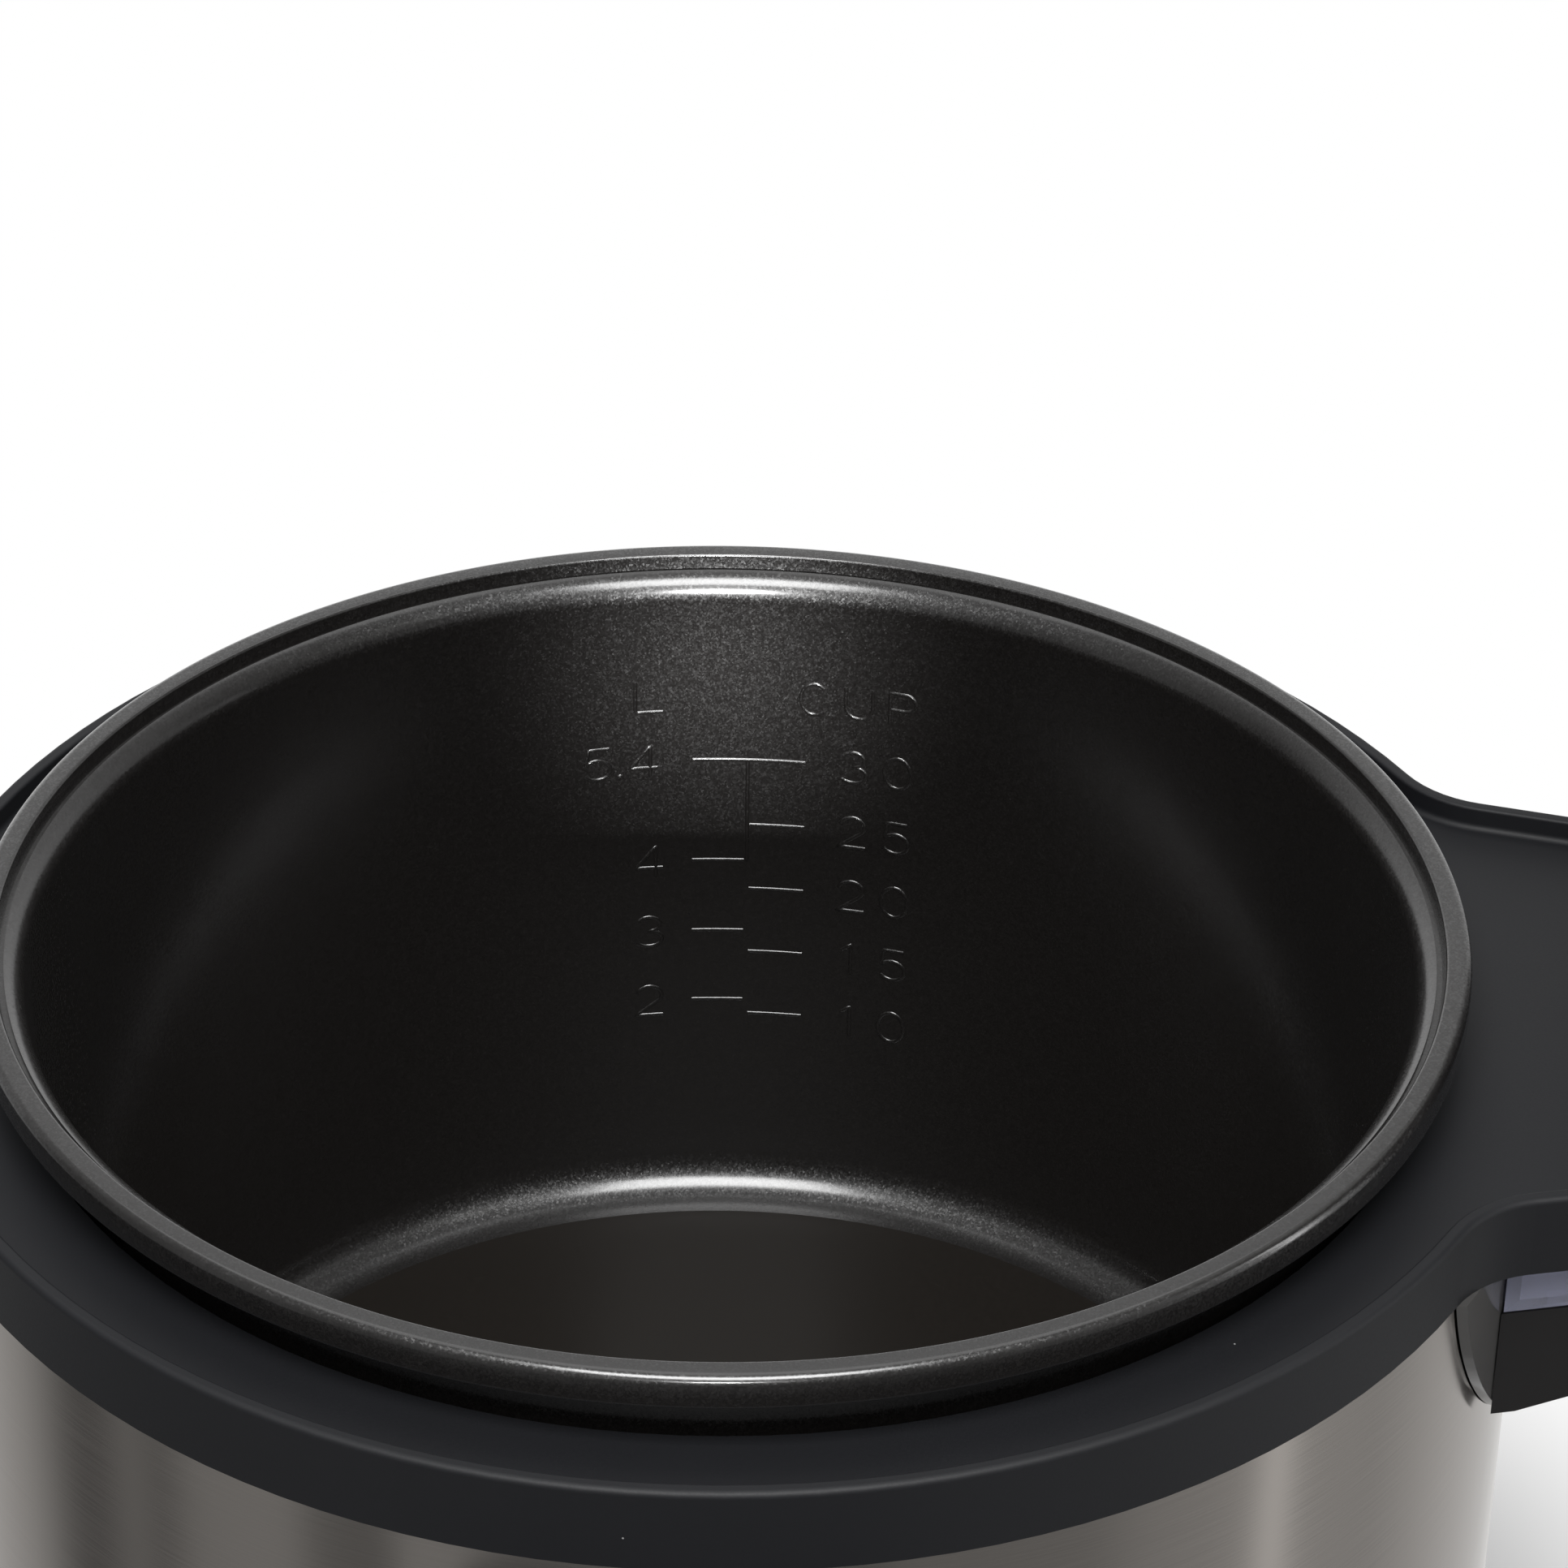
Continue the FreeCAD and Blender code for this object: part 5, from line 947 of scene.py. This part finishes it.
class COOKER_OT_works(bpy.types.Operator):
    """Finishes the liner, the heater, the thermostat and the wiring pieces"""

    bl_idname = "cooker.works"
    bl_label = "Works"

    def execute(self, context):
        metals = context.scene.cooker_metals
        # Cold-rolled sheet: grey, half bright, with long clouds from the mill.
        rolled = plain_metal(
            "rolled_steel", metals.sheet, roughness=0.38, grain=0.5 * MM, relief=0.01 * MM
        )
        dress(
            rolled,
            "liner_steel",
            "inner_liner",
            "bottom_plate",
            "switch_frame",
            "latch_strike",
            "cook_lever",
        )
        # Die-cast aluminium, faced off: dull, pitted and pale.
        dress(
            plain_metal("cast_aluminium", metals.cast, roughness=0.5, grain=1.2 * MM, relief=0.06 * MM),
            "heater_aluminium",
            "heating_plate",
        )
        # Element sheath: steel darkened by heat.
        dress(
            plain_metal(
                "heat_stained_steel",
                to_linear("#6b655e"),
                roughness=0.5,
                grain=1.0 * MM,
                relief=0.03 * MM,
            ),
            "element_steel",
            "heating_element",
        )
        dress(
            plain_metal(
                "plain_brass", to_linear("#c39a4e"), roughness=0.32, grain=0.6 * MM, relief=0.01 * MM
            ),
            "terminal_brass",
            "element_terminals",
            "inlet_pins",
        )
        # Unglazed porcelain: chalky white.
        dress(
            moulded_plastic(
                "unglazed_porcelain",
                to_linear("#e3dfd6"),
                roughness=0.75,
                grain=0.8 * MM,
                relief=0.05 * MM,
            ),
            "white_ceramic",
            "element_insulators",
            "terminal_block",
        )
        # Mica wrap: brown and flaky.
        dress(
            moulded_plastic(
                "mica_wrap", to_linear("#a48d6c"), roughness=0.5, grain=3.0 * MM, relief=0.15 * MM
            ),
            "band_mica",
            "warm_band",
        )
        dress(
            moulded_plastic(
                "glass_fibre_sleeve", to_linear("#c9c5b6"), roughness=0.7, grain=0.9 * MM, relief=0.1 * MM
            ),
            "fuse_body",
            "thermal_fuse",
        )
        dress(
            moulded_plastic(
                "black_polyamide", to_linear("#2a2a2a"), roughness=0.5, grain=0.6 * MM, relief=0.03 * MM
            ),
            "switch_plastic",
            "micro_switch",
            "power_inlet",
        )
        # Sintered ferrite: charcoal, with the open grain of pressed powder.
        dress(
            moulded_plastic(
                "sintered_ferrite", to_linear("#37373a"), roughness=0.6, grain=0.7 * MM, relief=0.1 * MM
            ),
            "ferrite",
            "ferrite_disc",
            "magnet_unit",
        )
        return {"FINISHED"}


# Studio

# Camera that was fitted to the ellipses of the rim, before the view is turned
CAMERA_PLACE = Vector((0.9475, -0.0008, 0.9251))
CAMERA_AIM = Vector((0, 0.0135, 0.3330))
CAMERA_ROLL = 0.015

# Distances from the cooker's axis between which the floor fades to the backdrop
FLOOR_FADE = (0.19, 0.35)

# Heights of a view's direction between which the room fades to the ceiling
CEILING_FADE = (0.2, 0.75)

# Brightness of the room by its bearing from the lens, in degrees: boards, gaps and a white backdrop
ROOM_BANDS = (
    (-180, 1.0), (-160, 1.0), (-126, 0.5), (-113, 0.35), (-103, 0.1), (-97, 0.09), (-90, 0.22), (-84, 0.11),
    (-78, 0.25), (-62, 0.27), (-57, 0.15), (-48, 0.13), (-43, 0.27), (0, 0.15), (53, 0.2), (62, 0.28),
    (80, 0.35), (84.5, 0.9), (89, 0.37), (105, 0.33), (124, 0.5), (150, 0.7), (166, 1.0), (180, 1.0),
)


def room_glow(tree, direction, looks):
    """Brightness of the room as metal and gloss show it, read by bearing round the cooker."""
    split = add_node(tree, "SeparateXYZ", {0: direction})
    bearing = add_node(
        tree, "Math", {0: split.outputs["Y"], 1: split.outputs["X"]}, operation="ARCTAN2"
    )
    share = add_node(
        tree,
        "MapRange",
        {"Value": bearing.outputs[0], "From Min": VIEW_TURN - math.pi, "From Max": VIEW_TURN + math.pi},
    )
    bands = add_node(tree, "ValToRGB", {"Fac": share.outputs[0]})
    stops = bands.color_ramp.elements
    while len(stops) > 1:
        stops.remove(stops[-1])
    for degrees, _ in ROOM_BANDS[1:]:
        stops.new((degrees + 180) / 360)
    for stop, (degrees, level) in zip(stops, ROOM_BANDS):
        stop.position = (degrees + 180) / 360
        stop.color = (level, level, level, 1.0)
    glow = add_node(tree, "Math", {0: bands.outputs["Color"], 1: looks.room}, operation="MULTIPLY")
    return glow.outputs[0]


def direct_sight(tree, path):
    """1 for what the camera sees straight or through clear plastic, and 0 for reflections."""
    rays = {0: path.outputs["Is Camera Ray"], 1: path.outputs["Is Transmission Ray"]}
    return add_node(tree, "Math", rays, operation="MAXIMUM").outputs[0]


def studio_floor(looks):
    """Pale floor that keeps the cooker's shadow and fades to the white of the backdrop."""
    made, tree = new_material("pale_floor")
    place = add_node(tree, "TexCoord").outputs["Object"]
    reach = add_node(tree, "VectorMath", {0: place}, operation="LENGTH")
    far = eased(tree, reach.outputs["Value"], *FLOOR_FADE)
    sight = direct_sight(tree, add_node(tree, "LightPath"))
    share = add_node(tree, "Math", {0: far, 1: sight}, operation="MULTIPLY")
    matt = add_node(tree, "BsdfDiffuse", {"Color": opaque(looks.floor)})
    light = add_node(tree, "Emission", {"Strength": 1.0})
    both = add_node(tree, "MixShader", {"Fac": share.outputs[0], 1: matt.outputs[0], 2: light.outputs[0]})
    add_node(tree, "OutputMaterial", {"Surface": both.outputs[0]})
    return made


def studio_world(looks):
    """White backdrop behind the cooker and a dim room in front of it, as its glossy parts show them."""
    world = bpy.data.worlds.new("studio")
    world.use_nodes = True
    tree = world.node_tree
    tree.nodes.clear()
    direction = add_node(tree, "TexCoord").outputs["Generated"]
    height = add_node(tree, "SeparateXYZ", {0: direction}).outputs["Z"]
    ceiling = eased(tree, height, *CEILING_FADE)
    room = mixed(tree, ceiling, room_glow(tree, direction, looks), looks.ambient)
    path = add_node(tree, "LightPath")
    glossy = mixed(tree, path.outputs["Is Glossy Ray"], looks.ambient, room)
    strength = mixed(tree, direct_sight(tree, path), glossy, 1.0)
    shader = add_node(tree, "Background", {"Color": (1, 1, 1, 1), "Strength": strength})
    add_node(tree, "OutputWorld", {"Surface": shader.outputs[0]})
    return world


def aimed(name, data, place, target):
    """Lamp or camera at a place, turned to a target."""
    made = link_object(name, data)
    made.location = place
    made.rotation_mode = "QUATERNION"
    made.rotation_quaternion = (target - place).to_track_quat("-Z", "Y")
    return made


def softbox(name, power, place, target, width, height):
    """Rectangular light that the camera doesn't see."""
    data = bpy.data.lights.new(name, "AREA")
    data.shape = "RECTANGLE"
    data.size = width
    data.size_y = height
    data.energy = power
    made = aimed(name, data, place, target)
    made.visible_camera = False


def snoot(name, power, place, target):
    """Small lamp in a snoot, which reaches over the near rim to the far wall of the pot."""
    data = bpy.data.lights.new(name, "SPOT")
    data.energy = power
    data.spot_size = math.radians(2.3)
    data.spot_blend = 1.0
    data.shadow_soft_size = 0.03
    aimed(name, data, place, target)


class COOKER_OT_stage(bpy.types.Operator):
    """Sets out the floor, the lights and the camera"""

    bl_idname = "cooker.stage"
    bl_label = "Studio"

    def execute(self, context):
        looks = context.scene.cooker_stage
        reach = 12.0
        mesh = bpy.data.meshes.new("studio_floor")
        corners = [(-reach, -reach, 0), (reach, -reach, 0), (reach, reach, 0), (-reach, reach, 0)]
        mesh.from_pydata(corners, [], [(0, 1, 2, 3)])
        floor = link_object("studio_floor", mesh)
        mesh.materials.append(studio_floor(looks))
        # Gloss looks past the floor to the room, whose bands lie below the horizon too.
        floor.visible_glossy = False
        context.scene.world = studio_world(looks)
        turn = Matrix.Rotation(VIEW_TURN, 3, "Z")
        middle = Vector((0, 0, 0.2))
        softbox("key_softbox", looks.key, turn @ Vector((1.0, 0, 1.7)), middle, width=1.0, height=0.8)
        snoot("front_snoot", looks.fill, turn @ Vector((2.2, 0, 0.83)), turn @ Vector((-0.15, 0, 0.275)))
        softbox("back_softbox", looks.top, turn @ Vector((-0.7, 0, 1.9)), middle, width=1.5, height=1.2)
        softbox("strip_light", looks.strip, turn @ Vector((0.24, 1.5, 0.5)), middle, width=0.12, height=1.2)
        camera = bpy.data.cameras.new("camera")
        camera.sensor_width = 36
        camera.lens = looks.lens
        camera.clip_start = 0.05
        eye = aimed("camera", camera, turn @ CAMERA_PLACE, turn @ CAMERA_AIM)
        eye.rotation_quaternion = eye.rotation_quaternion @ Quaternion((0, 0, 1), CAMERA_ROLL)
        context.scene.camera = eye
        context.scene.view_settings.view_transform = "Standard"
        return {"FINISHED"}


OPERATORS = (
    COOKER_OT_stage,
    COOKER_OT_pot,
    COOKER_OT_marks,
    COOKER_OT_casing,
    COOKER_OT_springs,
    COOKER_OT_lid,
    COOKER_OT_collector,
    COOKER_OT_controls,
    COOKER_OT_works,
)


class COOKER_PT_sidebar(bpy.types.Panel):
    """Lists the cooker's settings and its pieces"""

    bl_idname = "COOKER_PT_sidebar"
    bl_label = "Rice cooker"
    bl_space_type = "VIEW_3D"
    bl_region_type = "UI"
    bl_category = "Cooker"

    def draw(self, context):
        for operator in OPERATORS:
            self.layout.operator(operator.bl_idname)
        for name, group in SETTINGS.items():
            box = self.layout.box()
            box.label(text=group.__doc__)
            for setting in group.__annotations__:
                box.prop(getattr(context.scene, name), setting)


def register():
    for group in SETTINGS.values():
        bpy.utils.register_class(group)
    for name, group in SETTINGS.items():
        setattr(bpy.types.Scene, name, bpy.props.PointerProperty(type=group))
    for operator in OPERATORS:
        bpy.utils.register_class(operator)
    bpy.utils.register_class(COOKER_PT_sidebar)


def unregister():
    bpy.utils.unregister_class(COOKER_PT_sidebar)
    for operator in OPERATORS:
        bpy.utils.unregister_class(operator)
    for name in SETTINGS:
        delattr(bpy.types.Scene, name)
    for group in SETTINGS.values():
        bpy.utils.unregister_class(group)


def main():
    register()
    for operator in OPERATORS:
        group, name = operator.bl_idname.split(".")
        getattr(getattr(bpy.ops, group), name)()


if __name__ == "__main__":
    main()
